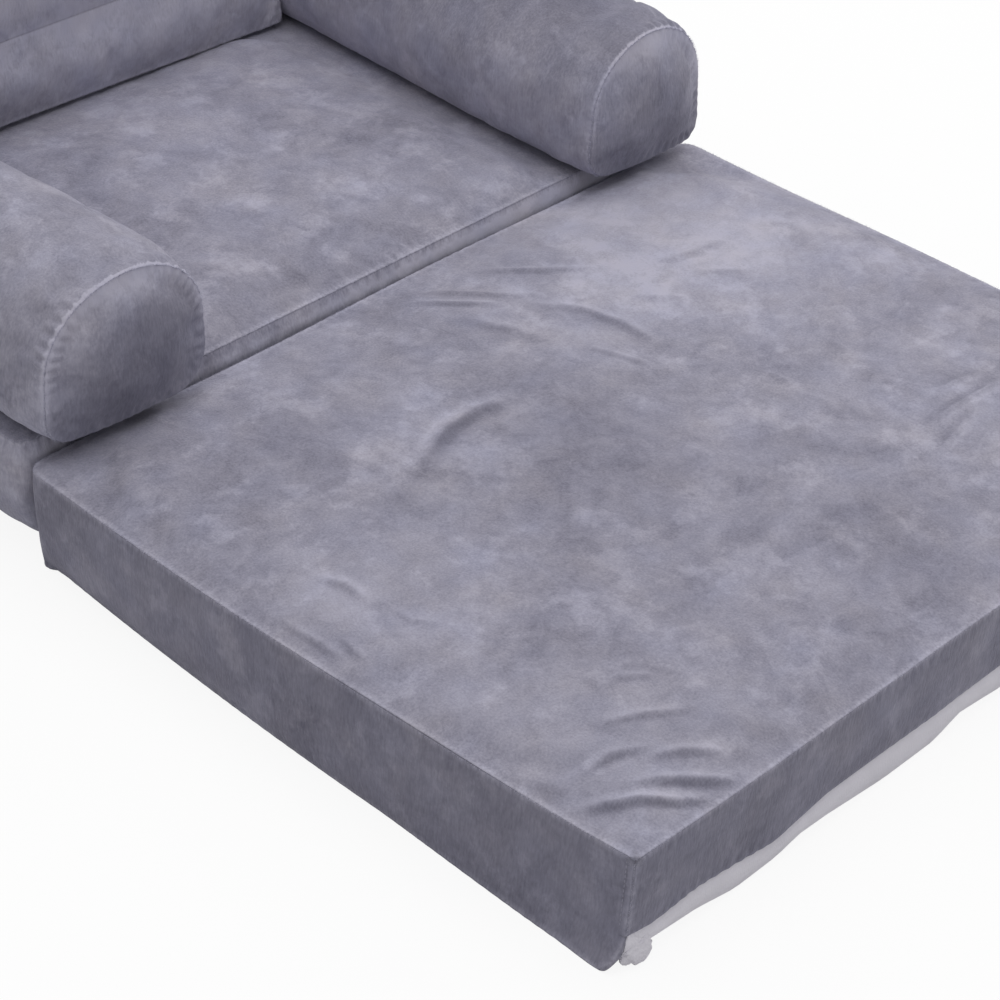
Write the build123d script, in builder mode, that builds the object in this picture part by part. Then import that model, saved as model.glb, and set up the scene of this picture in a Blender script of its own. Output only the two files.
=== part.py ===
from build123d import *
import os
from math import cos, radians, sin

# A child's plush foam sofa, unfolded. A seat block carries two arms and a back cushion, and a pad
# of the same plan lies in front of it, held by a sewn fabric strip at the foot of the crease.
# Units are millimetres. The origin is on the floor, in the middle of the crease.
# +Z is up, the pad lies towards -Y, and the right arm is at +X.

# Driving dimensions of the whole sofa
pad_width = 594
block_depth = 462
pad_seam_height = 73
seat_width = 586
seat_seam_height = 82
seat_open_depth = 293

# Sewn covers and foam
plush_wall = 2.4
lining_wall = 1.4
foam_clearance = 0.3
crease_clearance = 0.3
overrun = 20

# Rounding of the blocks at their seams, in height and in plan
seam_draw = 4
seam_round = 7
foot_draw = 5
foot_round = 8
pad_crease_corner_radius = 13
crease_corner_radius = 24
foot_corner_radius = 15
rear_corner_radius = 26

# Swell of the stuffed bands and crowns
pad_side_swell = 7
pad_foot_swell = 3
seat_side_swell = 4
pad_crown = 5
seat_crown = 5

# Lining that shows below the plush band
lining_height = 3
foot_lining_height = 15
foot_lining_reach = 14

# Arms
arm_width_at_front = 117
arm_width_at_rear = 103
arm_rear_set_in = 4
arm_height = 100
arm_overhang = 12
arm_rear_inset = 9
arm_foot_radius = 22
arm_side_height = 27
arm_swell = 4
end_panel_crown = 6

# Back cushion
back_height = 282
back_lean = 6
back_corner_radius = 95
back_foot_radius = 16
back_lower_panel_height = 66
back_edge_draw = 5
back_edge_round = 12
back_crown = 12
back_to_arm_gap = 2

# Sewn fabric hinge strip
hinge_thickness = 0.9
hinge_leaf_height = 26
hinge_end_inset = 32

# Zips with moulded teeth, and their sliders and pulls
zip_height = 28
seat_zip_length = 360
pad_zip_length = 300
back_zip_length = 220
tape_thickness = 0.8
tape_width = 11
tape_gap = 1.6
tape_spare = 8
tooth_pitch = 3
tooth_thickness = 2.1
tooth_length = 4.6
tooth_height = 2.4
tooth_stagger = 0.7
stop_length = 3
zip_clearance = 0.25
slider_length = 9
slider_plate = 1.1
slider_flange = 1.2
slider_flare = 1
bridge_span = 6
bridge_post = 1.2
bridge_bar_radius = 0.8
bridge_clearance = 0.3
pin_clearance = 0.05
knuckle_wall = 0.9
pull_length = 23
pull_width = 6.4
pull_thickness = 1.4

# Shares that shape the curved forms
quarter_turn_degrees = [0, 45, 90]
crown_shares = [1, 0.92, 0.7, 0.3]
end_crown_shares = [1, 0.8, 0.45]
arm_station_shares = [0, 0.33, 0.62, 1]
arm_taper_shares = [0, 0.25, 1, 1]
arm_swell_shares = [0, 1, 0.7, 0]
seat_crown_width_share = 0.97
seat_crown_depth_share = 0.95

# Sizes worked out from the ones above
diagonal = cos(radians(45))
crease_face = crease_clearance / 2 + hinge_thickness
far_face = crease_face + block_depth
seat_top = seat_seam_height + plush_wall
pad_top = pad_seam_height + pad_crown
arm_rear = far_face - arm_rear_inset
arm_outer_at_front = seat_width / 2
arm_outer_at_rear = arm_outer_at_front - arm_rear_set_in
arm_inner_at_front = arm_outer_at_front - arm_width_at_front
arm_inner_at_rear = arm_outer_at_rear - arm_width_at_rear
back_front = crease_face + seat_open_depth
back_half_width = arm_inner_at_rear - back_to_arm_gap
foam_inset = plush_wall + foam_clearance
slab_inset = foam_inset + foot_draw

os.makedirs("parts", exist_ok=True)


def keep(piece, name):
    """Labels a finished piece and writes it to its own file."""
    piece.part.label = name
    export_step(piece.part, f"parts/{name}.step")


def corner_arc(x, y, radius, side_x, side_y):
    """A quarter arc about (x, y), from the side_x end of its diameter to the side_y end."""
    middle = (x + side_x * radius * diagonal, y + side_y * radius * diagonal)
    ThreePointArc((x + side_x * radius, y), middle, (x, y + side_y * radius))


def swelled_side(start, end, out_x, out_y):
    """A seam between two corners, bowed outwards by (out_x, out_y), or straight if both are zero."""
    if out_x or out_y:
        middle = ((start[0] + end[0]) / 2 + out_x, (start[1] + end[1]) / 2 + out_y)
        ThreePointArc(start, middle, end)
    else:
        Line(start, end)


class Block:
    """The plan of a sewn block: away is the side of the crease that it lies on, -1 or 1."""

    def __init__(self, away, width, depth, crease, swells, radii):
        self.away = away
        self.width = width
        self.depth = depth
        self.crease = crease
        self.left_swell, self.right_swell, self.far_swell = swells
        self.crease_radius, self.far_radius = radii

    def outline(self, height, inset=0, share=1):
        """The plan at one height, drawn in by inset, then scaled by share about its middle."""
        half = (self.width / 2 - inset) * share
        deep = (self.depth / 2 - inset) * share
        middle = self.away * (self.crease + self.depth / 2)
        near = middle - self.away * deep
        far = middle + self.away * deep
        near_r = self.crease_radius * share
        far_r = self.far_radius * share
        near_turn = near + self.away * near_r
        far_turn = far - self.away * far_r
        with BuildSketch(Plane.XY.offset(height)) as plan:
            with BuildLine():
                swelled_side((-half, near_turn), (-half, far_turn), -self.left_swell * share, 0)
                corner_arc(-half + far_r, far_turn, far_r, -1, self.away)
                far_out = self.away * self.far_swell * share
                swelled_side((-half + far_r, far), (half - far_r, far), 0, far_out)
                corner_arc(half - far_r, far_turn, far_r, 1, self.away)
                swelled_side((half, far_turn), (half, near_turn), self.right_swell * share, 0)
                corner_arc(half - near_r, near_turn, near_r, 1, -self.away)
                Line((half - near_r, near), (-half + near_r, near))
                corner_arc(-half + near_r, near_turn, near_r, -1, -self.away)
            make_face()
        return plan.sketch

    def walls(self, low, high, inset=0):
        """Plans up the block, from low to high, drawn in towards both seams."""
        rising = [radians(turn) for turn in quarter_turn_degrees]
        plans = []
        for turn in rising:
            height = low + foot_round * (1 - cos(turn))
            plans.append(self.outline(height, inset + foot_draw * (1 - sin(turn))))
        for turn in reversed(rising):
            height = high - seam_round * (1 - cos(turn))
            plans.append(self.outline(height, inset + seam_draw * (1 - sin(turn))))
        return plans

    def crown(self, height, rise, inset):
        """Plans of the crowned top panel, from its seam to the middle."""
        plans = []
        for share in crown_shares:
            plans.append(self.outline(height + rise * (1 - share**4), inset, share))
        return plans


# The pad is straight on its right side, where its zip is. The seat block is straight at the rear.
pad_block = Block(
    -1,
    pad_width,
    block_depth,
    crease_face,
    (pad_side_swell, 0, pad_foot_swell),
    (pad_crease_corner_radius, foot_corner_radius),
)
seat_block = Block(
    1,
    seat_width,
    block_depth,
    crease_face,
    (seat_side_swell, seat_side_swell, 0),
    (crease_corner_radius, rear_corner_radius),
)
seat_well = Block(
    1,
    2 * arm_inner_at_front * seat_crown_width_share,
    seat_open_depth * seat_crown_depth_share,
    crease_face + seam_draw,
    (0, 0, 0),
    (crease_corner_radius, crease_corner_radius),
)

# Fold-out pad: foam core, crowned top panel, side band and white lining
with BuildPart() as pad_foam_core:
    add(pad_block.outline(lining_wall + foam_clearance, slab_inset))
    extrude(amount=pad_seam_height - lining_wall - foam_clearance)
    loft(pad_block.crown(pad_seam_height, pad_crown - foam_inset, slab_inset), ruled=True)
keep(pad_foam_core, "pad_foam_core")

with BuildPart() as pad_top_panel:
    loft(pad_block.crown(pad_seam_height, pad_crown, seam_draw), ruled=True)
    loft(
        pad_block.crown(pad_seam_height, pad_crown - plush_wall, seam_draw + plush_wall),
        ruled=True,
        mode=Mode.SUBTRACT,
    )
keep(pad_top_panel, "pad_top_panel")

foot_notch_y = -(far_face + pad_foot_swell)
with BuildPart() as pad_side_band:
    loft(pad_block.walls(0, pad_seam_height), ruled=True)
    loft(pad_block.walls(lining_wall, pad_seam_height, plush_wall), ruled=True, mode=Mode.SUBTRACT)
    with BuildSketch(Plane.XY):
        Rectangle(pad_width + 2 * overrun, 2 * (block_depth + overrun))
    extrude(amount=lining_height, mode=Mode.SUBTRACT)
    with BuildSketch(Plane.XY):
        with Locations((0, foot_notch_y)):
            Rectangle(pad_width - 2 * foot_corner_radius, 2 * foot_lining_reach)
    extrude(amount=foot_lining_height, mode=Mode.SUBTRACT)
keep(pad_side_band, "pad_side_band")

with BuildPart() as pad_bottom_lining:
    loft(pad_block.walls(0, pad_seam_height), ruled=True)
    loft(pad_block.walls(lining_wall, pad_seam_height, plush_wall), ruled=True, mode=Mode.SUBTRACT)
    with BuildSketch(Plane.XY.offset(lining_height)):
        Rectangle(pad_width + 2 * overrun, 2 * (block_depth + overrun))
        with Locations((0, foot_notch_y)):
            Rectangle(
                pad_width - 2 * foot_corner_radius, 2 * foot_lining_reach, mode=Mode.SUBTRACT
            )
    extrude(amount=pad_top, mode=Mode.SUBTRACT)
    with BuildSketch(Plane.XY.offset(foot_lining_height)):
        Rectangle(pad_width + 2 * overrun, 2 * (block_depth + overrun))
    extrude(amount=pad_top, mode=Mode.SUBTRACT)
keep(pad_bottom_lining, "pad_bottom_lining")

# Seat block: its top panel is flat under the arms and back, and crowned where one sits
with BuildPart() as seat_foam_core:
    add(seat_block.outline(lining_wall + foam_clearance, slab_inset))
    extrude(amount=seat_seam_height - lining_wall - 2 * foam_clearance)
    loft(seat_well.crown(seat_seam_height - foam_clearance, seat_crown, foam_inset), ruled=True)
keep(seat_foam_core, "seat_foam_core")

with BuildPart() as seat_top_panel:
    with BuildSketch(Plane.XY.offset(seat_seam_height)):
        add(seat_block.outline(0, seam_draw))
    extrude(amount=plush_wall)
    loft(seat_well.crown(seat_top, seat_crown, 0), ruled=True)
    loft(
        seat_well.crown(seat_seam_height, seat_crown + foam_clearance, plush_wall),
        ruled=True,
        mode=Mode.SUBTRACT,
    )
keep(seat_top_panel, "seat_top_panel")

with BuildPart() as seat_side_band:
    loft(seat_block.walls(0, seat_seam_height), ruled=True)
    loft(seat_block.walls(lining_wall, seat_seam_height, plush_wall), ruled=True, mode=Mode.SUBTRACT)
    with BuildSketch(Plane.XY):
        Rectangle(seat_width + 2 * overrun, 2 * (block_depth + overrun))
    extrude(amount=lining_height, mode=Mode.SUBTRACT)
keep(seat_side_band, "seat_side_band")

with BuildPart() as seat_bottom_lining:
    loft(seat_block.walls(0, seat_seam_height), ruled=True)
    loft(seat_block.walls(lining_wall, seat_seam_height, plush_wall), ruled=True, mode=Mode.SUBTRACT)
    with BuildSketch(Plane.XY.offset(lining_height)):
        Rectangle(seat_width + 2 * overrun, 2 * (block_depth + overrun))
    extrude(amount=seat_top, mode=Mode.SUBTRACT)
keep(seat_bottom_lining, "seat_bottom_lining")

# Sewn strip at the foot of the crease: one leaf on the seat block, one on the pad
with BuildPart() as hinge_seat_leaf:
    with BuildSketch(Plane.XZ.offset(-crease_clearance / 2)):
        with Locations((0, foot_round + hinge_leaf_height / 2)):
            Rectangle(seat_width - 2 * hinge_end_inset, hinge_leaf_height)
    extrude(amount=-hinge_thickness)
keep(hinge_seat_leaf, "hinge_seat_leaf")

with BuildPart() as hinge_pad_leaf:
    with BuildSketch(Plane.XZ.offset(crease_clearance / 2)):
        with Locations((0, foot_round + hinge_leaf_height / 2)):
            Rectangle(seat_width - 2 * hinge_end_inset, hinge_leaf_height)
    extrude(amount=hinge_thickness)
keep(hinge_pad_leaf, "hinge_pad_leaf")


# Arms: a bolster with a flat foot, upright sides and a round top, closed by crowned end panels


def arm_outline(hand, y, inner, outer, top, inset=0, share=1):
    """The bolster's section at y, drawn in by inset, then scaled by share about its middle."""
    middle_x = (inner + outer) / 2
    middle_z = (seat_top + top) / 2
    half = ((outer - inner) / 2 - inset) * share
    tall = ((top - seat_top) / 2 - inset) * share
    foot = middle_z - tall
    head = middle_z + tall
    turn = (arm_foot_radius - inset) * share
    shoulder = foot + turn + arm_side_height * share
    rise = head - shoulder
    left = hand * (middle_x - half)
    right = hand * (middle_x + half)
    centre = hand * middle_x
    low_left = left + hand * turn
    low_right = right - hand * turn
    with BuildSketch(Plane.XZ.offset(-y)) as section:
        with BuildLine():
            Line((low_left, foot), (low_right, foot))
            corner_arc(low_right, foot + turn, turn, hand, -1)
            Line((right, foot + turn), (right, shoulder))
            crest_x = centre + (right - centre) * diagonal
            crest_z = shoulder + rise * diagonal
            ThreePointArc((right, shoulder), (crest_x, crest_z), (centre, head))
            crest_x = centre + (left - centre) * diagonal
            ThreePointArc((centre, head), (crest_x, crest_z), (left, shoulder))
            Line((left, shoulder), (left, foot + turn))
            corner_arc(low_left, foot + turn, turn, -hand, -1)
        make_face()
    return section.sketch


def arm_sections(hand, inset=0):
    """Sections of the bolster from its front seam to its rear seam."""
    sections = []
    for station, taper, swell in zip(arm_station_shares, arm_taper_shares, arm_swell_shares):
        y = -arm_overhang + station * (arm_rear + arm_overhang)
        inner = arm_inner_at_front + taper * (arm_inner_at_rear - arm_inner_at_front)
        outer = arm_outer_at_front + taper * (arm_outer_at_rear - arm_outer_at_front)
        top = seat_top + arm_height + swell * arm_swell
        sections.append(arm_outline(hand, y, inner, outer + swell * arm_swell, top, inset))
    return sections


def end_crown(hand, seam_y, outwards, inner, outer, rise, inset):
    """Sections of a crowned end panel, from its seam outwards along Y."""
    sections = []
    for share in end_crown_shares:
        y = seam_y + outwards * rise * (1 - share**2)
        sections.append(arm_outline(hand, y, inner, outer, seat_top + arm_height, inset, share))
    return sections


for hand, side in ((-1, "left"), (1, "right")):
    with BuildPart() as arm_foam_core:
        loft(arm_sections(hand, foam_inset))
    keep(arm_foam_core, f"{side}_arm_foam_core")

    with BuildPart() as arm_cover:
        loft(arm_sections(hand))
        loft(arm_sections(hand, plush_wall), mode=Mode.SUBTRACT)
    keep(arm_cover, f"{side}_arm_cover")

    for end, seam_y, outwards, inner, outer in (
        ("front", -arm_overhang, -1, arm_inner_at_front, arm_outer_at_front),
        ("rear", arm_rear, 1, arm_inner_at_rear, arm_outer_at_rear),
    ):
        with BuildPart() as arm_end_panel:
            crown = end_crown(hand, seam_y, outwards, inner, outer, end_panel_crown, 0)
            loft(crown, ruled=True)
            hollow = end_panel_crown - plush_wall
            crown = end_crown(hand, seam_y, outwards, inner, outer, hollow, plush_wall)
            loft(crown, ruled=True, mode=Mode.SUBTRACT)
        keep(arm_end_panel, f"{side}_arm_{end}_panel")


# Back cushion: an arched box cushion that stands on the seat block between the arms


def back_outline(y, lean, inset=0, share=1):
    """The arched front view on a plane that stands at y and leans back by lean degrees."""
    plane = Plane((0, y, seat_top), x_dir=(1, 0, 0), z_dir=(0, -cos(radians(lean)), sin(radians(lean))))
    half = (back_half_width - inset) * share
    tall = (back_height / 2 - inset) * share
    foot = back_height / 2 - tall
    head = back_height / 2 + tall
    low = back_foot_radius * share
    high = back_corner_radius * share
    with BuildSketch(plane) as section:
        with BuildLine():
            Line((-half + low, foot), (half - low, foot))
            corner_arc(half - low, foot + low, low, 1, -1)
            Line((half, foot + low), (half, head - high))
            corner_arc(half - high, head - high, high, 1, 1)
            Line((half - high, head), (-half + high, head))
            corner_arc(-half + high, head - high, high, -1, 1)
            Line((-half, head - high), (-half, foot + low))
            corner_arc(-half + low, foot + low, low, -1, -1)
        make_face()
    return section.sketch


def back_stations(inset=0):
    """Sections of the side band, from the front seam to the rear seam."""
    falling = [radians(turn) for turn in quarter_turn_degrees]
    sections = []
    for turn in falling:
        y = back_front + back_edge_round * (1 - cos(turn))
        sections.append(back_outline(y, back_lean, inset + back_edge_draw * (1 - sin(turn))))
    for turn in reversed(falling):
        y = far_face - back_edge_round * (1 - cos(turn))
        sections.append(back_outline(y, 0, inset + back_edge_draw * (1 - sin(turn))))
    return sections


def back_crown_sections(rise, inset):
    """Sections of the crowned front panel, from its seam forwards."""
    sections = []
    for share in crown_shares:
        y = back_front - rise * (1 - share**4)
        sections.append(back_outline(y, back_lean, back_edge_draw + inset, share))
    return sections


with BuildPart() as back_foam_core:
    front = back_outline(back_front, back_lean, back_edge_draw + foam_inset)
    rear = back_outline(far_face - foam_inset, 0, back_edge_draw + foam_inset)
    loft([front, rear], ruled=True)
    loft(back_crown_sections(back_crown - foam_inset, foam_inset), ruled=True)
keep(back_foam_core, "back_foam_core")

seam_plane = Plane.XY.offset(seat_top + back_lower_panel_height)
with BuildPart() as back_front_panel:
    loft(back_crown_sections(back_crown, 0), ruled=True)
    loft(
        back_crown_sections(back_crown - plush_wall, plush_wall), ruled=True, mode=Mode.SUBTRACT
    )
    split(bisect_by=seam_plane, keep=Keep.TOP)
keep(back_front_panel, "back_front_panel")

with BuildPart() as back_lower_front_panel:
    loft(back_crown_sections(back_crown, 0), ruled=True)
    loft(
        back_crown_sections(back_crown - plush_wall, plush_wall), ruled=True, mode=Mode.SUBTRACT
    )
    split(bisect_by=seam_plane, keep=Keep.BOTTOM)
keep(back_lower_front_panel, "back_lower_front_panel")

with BuildPart() as back_side_band:
    loft(back_stations(), ruled=True)
    loft(back_stations(plush_wall), ruled=True, mode=Mode.SUBTRACT)
    split(bisect_by=Plane.XZ.offset(-(far_face - plush_wall)), keep=Keep.TOP)
keep(back_side_band, "back_side_band")

with BuildPart() as back_rear_panel:
    loft(back_stations(), ruled=True)
    split(bisect_by=Plane.XZ.offset(-(far_face - plush_wall)), keep=Keep.BOTTOM)
keep(back_rear_panel, "back_rear_panel")

# Zips: each lies on a flat face, in a frame with X along the zip, Y up and Z out of the face
tooth_top = tape_thickness + tooth_height
chain_half_width = tooth_length / 2 + tooth_stagger
flange_inside = chain_half_width + zip_clearance
slider_half_width = flange_inside + slider_flange
plate_foot = tooth_top + zip_clearance
plate_top = plate_foot + slider_plate
knuckle_bore = bridge_bar_radius + pin_clearance
knuckle_radius = knuckle_bore + knuckle_wall
bar_height = plate_top + bridge_clearance + knuckle_radius
knuckle_length = bridge_span - 2 * bridge_post - 2 * bridge_clearance
pull_shoulder = knuckle_radius + bridge_clearance


def zip_parts(name, frame, length):
    """Tapes, teeth, slider and pull of one closed zip, with the slider at the start of its travel."""
    start = -(length / 2 - stop_length - zip_clearance - slider_length / 2)

    with BuildPart() as tapes:
        with BuildSketch(frame):
            with Locations((0, (tape_gap + tape_width) / 2), (0, -(tape_gap + tape_width) / 2)):
                Rectangle(length + 2 * tape_spare, tape_width)
        extrude(amount=tape_thickness)
    keep(tapes, f"{name}_zip_tapes")

    teeth_run = length - 2 * stop_length
    count = int(teeth_run / tooth_pitch)
    with BuildPart() as teeth:
        with BuildSketch(frame.offset(tape_thickness)):
            for number in range(count):
                along = (number - (count - 1) / 2) * tooth_pitch
                across = tooth_stagger if number % 2 else -tooth_stagger
                with Locations((along, across)):
                    Rectangle(tooth_thickness, tooth_length)
            with Locations(((length - stop_length) / 2, 0), (-(length - stop_length) / 2, 0)):
                Rectangle(stop_length, 2 * chain_half_width)
        extrude(amount=tooth_height)
    keep(teeth, f"{name}_zip_teeth")

    with BuildPart() as slider:
        with BuildSketch(frame.offset(plate_foot)):
            with BuildLine():
                tail = start - slider_length / 2
                nose = start + slider_length / 2
                wide = slider_half_width + slider_flare
                Polyline(
                    (tail, -slider_half_width),
                    (start, -slider_half_width),
                    (nose, -wide),
                    (nose, wide),
                    (start, slider_half_width),
                    (tail, slider_half_width),
                    close=True,
                )
            make_face()
        extrude(amount=slider_plate)
        with BuildSketch(frame.offset(tape_thickness + zip_clearance)):
            for sign in (-1, 1):
                with Locations((start, sign * (flange_inside + slider_flange / 2))):
                    Rectangle(slider_length, slider_flange)
        extrude(amount=tooth_height)
        with BuildSketch(frame.offset(plate_top)):
            for sign in (-1, 1):
                with Locations((start + sign * (bridge_span - bridge_post) / 2, 0)):
                    Rectangle(bridge_post, 2 * bridge_bar_radius)
        extrude(amount=bar_height - plate_top + bridge_bar_radius)
        bar_end = frame.from_local_coords((start - bridge_span / 2, 0, bar_height))
        with BuildSketch(Plane(bar_end, x_dir=frame.y_dir, z_dir=frame.x_dir)):
            Circle(bridge_bar_radius)
        extrude(amount=bridge_span)
    keep(slider, f"{name}_zip_slider")

    with BuildPart() as pull:
        knuckle_end = frame.from_local_coords((start - knuckle_length / 2, 0, bar_height))
        with BuildSketch(Plane(knuckle_end, x_dir=frame.y_dir, z_dir=frame.x_dir)):
            Circle(knuckle_radius)
            with Locations((-pull_shoulder, 0)):
                Rectangle(2 * pull_shoulder, pull_thickness)
            Circle(knuckle_bore, mode=Mode.SUBTRACT)
        extrude(amount=knuckle_length)
        with BuildSketch(frame.offset(bar_height - pull_thickness / 2)):
            with Locations((start, -(pull_shoulder + pull_length) / 2)):
                Rectangle(pull_width, pull_length - pull_shoulder)
        extrude(amount=pull_thickness)
        upright = pull.edges().filter_by(Axis(frame.origin, frame.z_dir))
        chamfer(upright.sort_by(Axis.Z)[:2], pull_width / 4)
    keep(pull, f"{name}_zip_pull")


rear_x = (-1, 0, 0)
rear_out = (0, 1, 0)
zip_parts("seat", Plane((0, far_face, zip_height), rear_x, rear_out), seat_zip_length)
zip_parts("back", Plane((0, far_face, seat_top + zip_height), rear_x, rear_out), back_zip_length)
pad_side_middle = (pad_width / 2, -(crease_face + block_depth / 2), zip_height)
zip_parts("pad", Plane(pad_side_middle, (0, 1, 0), (1, 0, 0)), pad_zip_length)
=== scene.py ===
# %% [markdown]
# # A child's plush sofa that folds out into a lounger
#
# The real thing is foam blocks in sewn covers of short grey-lavender plush. A seat block carries
# two bolster arms and a back cushion. A pad of the same plan hangs on a fabric strip and folds
# out in front. The CAD model gives the sizes and the joints, and everything here is built in
# its frame: metres, Z up, the pad towards -Y, the floor at zero.

# %% Load the CAD frame
from math import cos, pi, radians, sin

import bmesh
import bpy
import numpy as np
from mathutils import Matrix, Vector
from mathutils.bvhtree import BVHTree
from mathutils.kdtree import KDTree


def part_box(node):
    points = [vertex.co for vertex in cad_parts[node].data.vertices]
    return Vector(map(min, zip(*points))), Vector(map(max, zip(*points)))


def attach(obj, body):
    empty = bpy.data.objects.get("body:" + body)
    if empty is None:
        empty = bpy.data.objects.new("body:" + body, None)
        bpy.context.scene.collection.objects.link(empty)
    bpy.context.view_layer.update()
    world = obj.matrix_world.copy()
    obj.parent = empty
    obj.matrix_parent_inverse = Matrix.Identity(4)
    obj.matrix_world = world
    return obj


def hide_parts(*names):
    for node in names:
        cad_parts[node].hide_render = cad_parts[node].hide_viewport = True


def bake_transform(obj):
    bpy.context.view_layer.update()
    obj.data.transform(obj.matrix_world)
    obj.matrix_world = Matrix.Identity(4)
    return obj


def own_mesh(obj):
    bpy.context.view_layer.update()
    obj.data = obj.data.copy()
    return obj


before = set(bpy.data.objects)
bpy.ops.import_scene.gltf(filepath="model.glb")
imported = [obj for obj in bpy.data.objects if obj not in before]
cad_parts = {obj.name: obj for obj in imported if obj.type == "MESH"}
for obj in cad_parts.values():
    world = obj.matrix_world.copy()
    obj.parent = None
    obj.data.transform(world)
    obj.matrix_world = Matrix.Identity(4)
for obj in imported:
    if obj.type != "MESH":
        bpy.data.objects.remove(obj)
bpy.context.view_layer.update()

scene = bpy.context.scene

# %% [markdown]
# ## Camera
#
# The camera could be placed by eye, but the straight seams of the pad and the seat allow a
# proper fit: their corners were matched to the corners of the model. The result is kept as a
# place, three angles and a lens. The photograph is square and its middle is on the axis.

# %% Camera
CAMERA_PLACE = Vector((-1.200, -1.116, 1.0668))
CAMERA_HEADING = radians(40.0)
CAMERA_DIP = radians(35.14)
CAMERA_ROLL = radians(4.355)
FOCAL_SHARE = 3.0161
SENSOR = 36

level = cos(CAMERA_DIP)
forward = Vector((cos(CAMERA_HEADING) * level, sin(CAMERA_HEADING) * level, -sin(CAMERA_DIP)))
level_right = Vector((sin(CAMERA_HEADING), -cos(CAMERA_HEADING), 0))
level_up = level_right.cross(forward)
right = cos(CAMERA_ROLL) * level_right + sin(CAMERA_ROLL) * level_up
up = right.cross(forward)

lens = bpy.data.cameras.new("camera")
lens.sensor_width = SENSOR
lens.lens = FOCAL_SHARE * SENSOR
camera = bpy.data.objects.new("camera", lens)
camera.matrix_world = Matrix.Translation(CAMERA_PLACE) @ Matrix((right, up, -forward)).transposed().to_4x4()
scene.collection.objects.link(camera)
scene.camera = camera
scene.view_settings.view_transform = "Standard"
print("lens", round(lens.lens, 1), "mm")

# %% [markdown]
# ## Nodes and colours
#
# Materials and Geometry Nodes trees are both made of nodes with settings and links, so one
# small function serves both. Colours are read as the hex values of a paint chart (sRGB), and
# Blender computes with linear light, so each is turned once, here. Shapes are blended all over
# this lesson, either with a straight ramp or with a bell curve, so both have a short name.


# %% Helpers for nodes and colours
def add_node(tree, kind, inputs=None, **settings):
    """Adds a node. An input given a socket, or a node for its first one, is linked. Others are set."""
    node = tree.nodes.new(kind)
    for name, value in settings.items():
        setattr(node, name, value)
    for key, value in (inputs or {}).items():
        if isinstance(value, bpy.types.Node):
            value = value.outputs[0]
        if isinstance(value, bpy.types.NodeSocket):
            tree.links.new(value, node.inputs[key])
        else:
            node.inputs[key].default_value = value
    return node


def linear(hex_colour):
    """The linear RGBA of an sRGB hex colour."""
    shares = [int(hex_colour[i : i + 2], 16) / 255 for i in (1, 3, 5)]
    return [s / 12.92 if s <= 0.04045 else ((s + 0.055) / 1.055) ** 2.4 for s in shares] + [1]


def new_material(name):
    """A material with an empty node tree, and the tree."""
    material = bpy.data.materials.new(name)
    material.use_nodes = True
    material.node_tree.nodes.clear()
    return material, material.node_tree


def new_object(name, data):
    """A new object in the scene."""
    made = bpy.data.objects.new(name, data)
    scene.collection.objects.link(made)
    return made


def dress(piece, material):
    """Gives a piece its one material."""
    piece.data.materials.clear()
    piece.data.materials.append(material)


def ramp(past, width):
    """0 up to the edge, then straight up to 1 over the width."""
    return np.clip(past / width, 0, 1)


def bell(distance, reach):
    """1 at no distance, falling off smoothly to about a third at the reach."""
    return np.exp(-((distance / reach) ** 2))


# %% [markdown]
# ## Studio
#
# A product photograph on white: a broad soft light overhead, and weak light from all around.
# The floor is a pale sheet. It could be lit until it clips to white, but that would light the
# sofa too, so the camera sees part of it as plain white, and the rest keeps the soft shadow.
# When the pad folds under the seat block, the sofa stands on the pad. The bodies keep their
# places in that pose.

# %% Studio
FLOOR_SIDE = 12
LAMP_AIM = Vector((0, -0.1, 0.05))
WHITE_SHARE = 0.90
SKY_STRENGTH = 0.50
# Each softbox: where it hangs, the side of its square and its power in watts.
SOFTBOXES = {
    "overhead_softbox": (Vector((0.05, -0.15, 2.3)), 2.2, 29),
    "rear_softbox": (Vector((1.5, 0.9, 1.25)), 0.8, 8),
}

world = bpy.data.worlds.new("studio")
scene.world = world
world.use_nodes = True
tree = world.node_tree
tree.nodes.clear()
path = add_node(tree, "ShaderNodeLightPath")
seen = add_node(
    tree,
    "ShaderNodeMath",
    {0: path.outputs["Is Camera Ray"], 1: path.outputs["Is Glossy Ray"]},
    operation="MAXIMUM",
)
soft = add_node(tree, "ShaderNodeBackground", {"Color": (1, 1, 1, 1), "Strength": SKY_STRENGTH})
white = add_node(tree, "ShaderNodeBackground", {"Color": (1, 1, 1, 1), "Strength": 1})
mixed = add_node(tree, "ShaderNodeMixShader", {0: seen, 1: soft, 2: white})
add_node(tree, "ShaderNodeOutputWorld", {"Surface": mixed})

floor_paper, tree = new_material("studio_paper")
direct = add_node(tree, "ShaderNodeLightPath").outputs["Is Camera Ray"]
seen = add_node(tree, "ShaderNodeMath", {0: direct, 1: WHITE_SHARE}, operation="MULTIPLY")
paper = add_node(tree, "ShaderNodeBsdfDiffuse", {"Color": linear("#F2F2F2")})
white = add_node(tree, "ShaderNodeEmission", {"Color": (1, 1, 1, 1), "Strength": 1})
mixed = add_node(tree, "ShaderNodeMixShader", {0: seen, 1: paper, 2: white})
add_node(tree, "ShaderNodeOutputMaterial", {"Surface": mixed})

floor_mesh = bpy.data.meshes.new("studio_floor")
half = FLOOR_SIDE / 2
floor_mesh.from_pydata(
    [(-half, -half, 0), (half, -half, 0), (half, half, 0), (-half, half, 0)], [], [(0, 1, 2, 3)]
)
floor = new_object("studio_floor", floor_mesh)
dress(floor, floor_paper)
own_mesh(floor)

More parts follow.
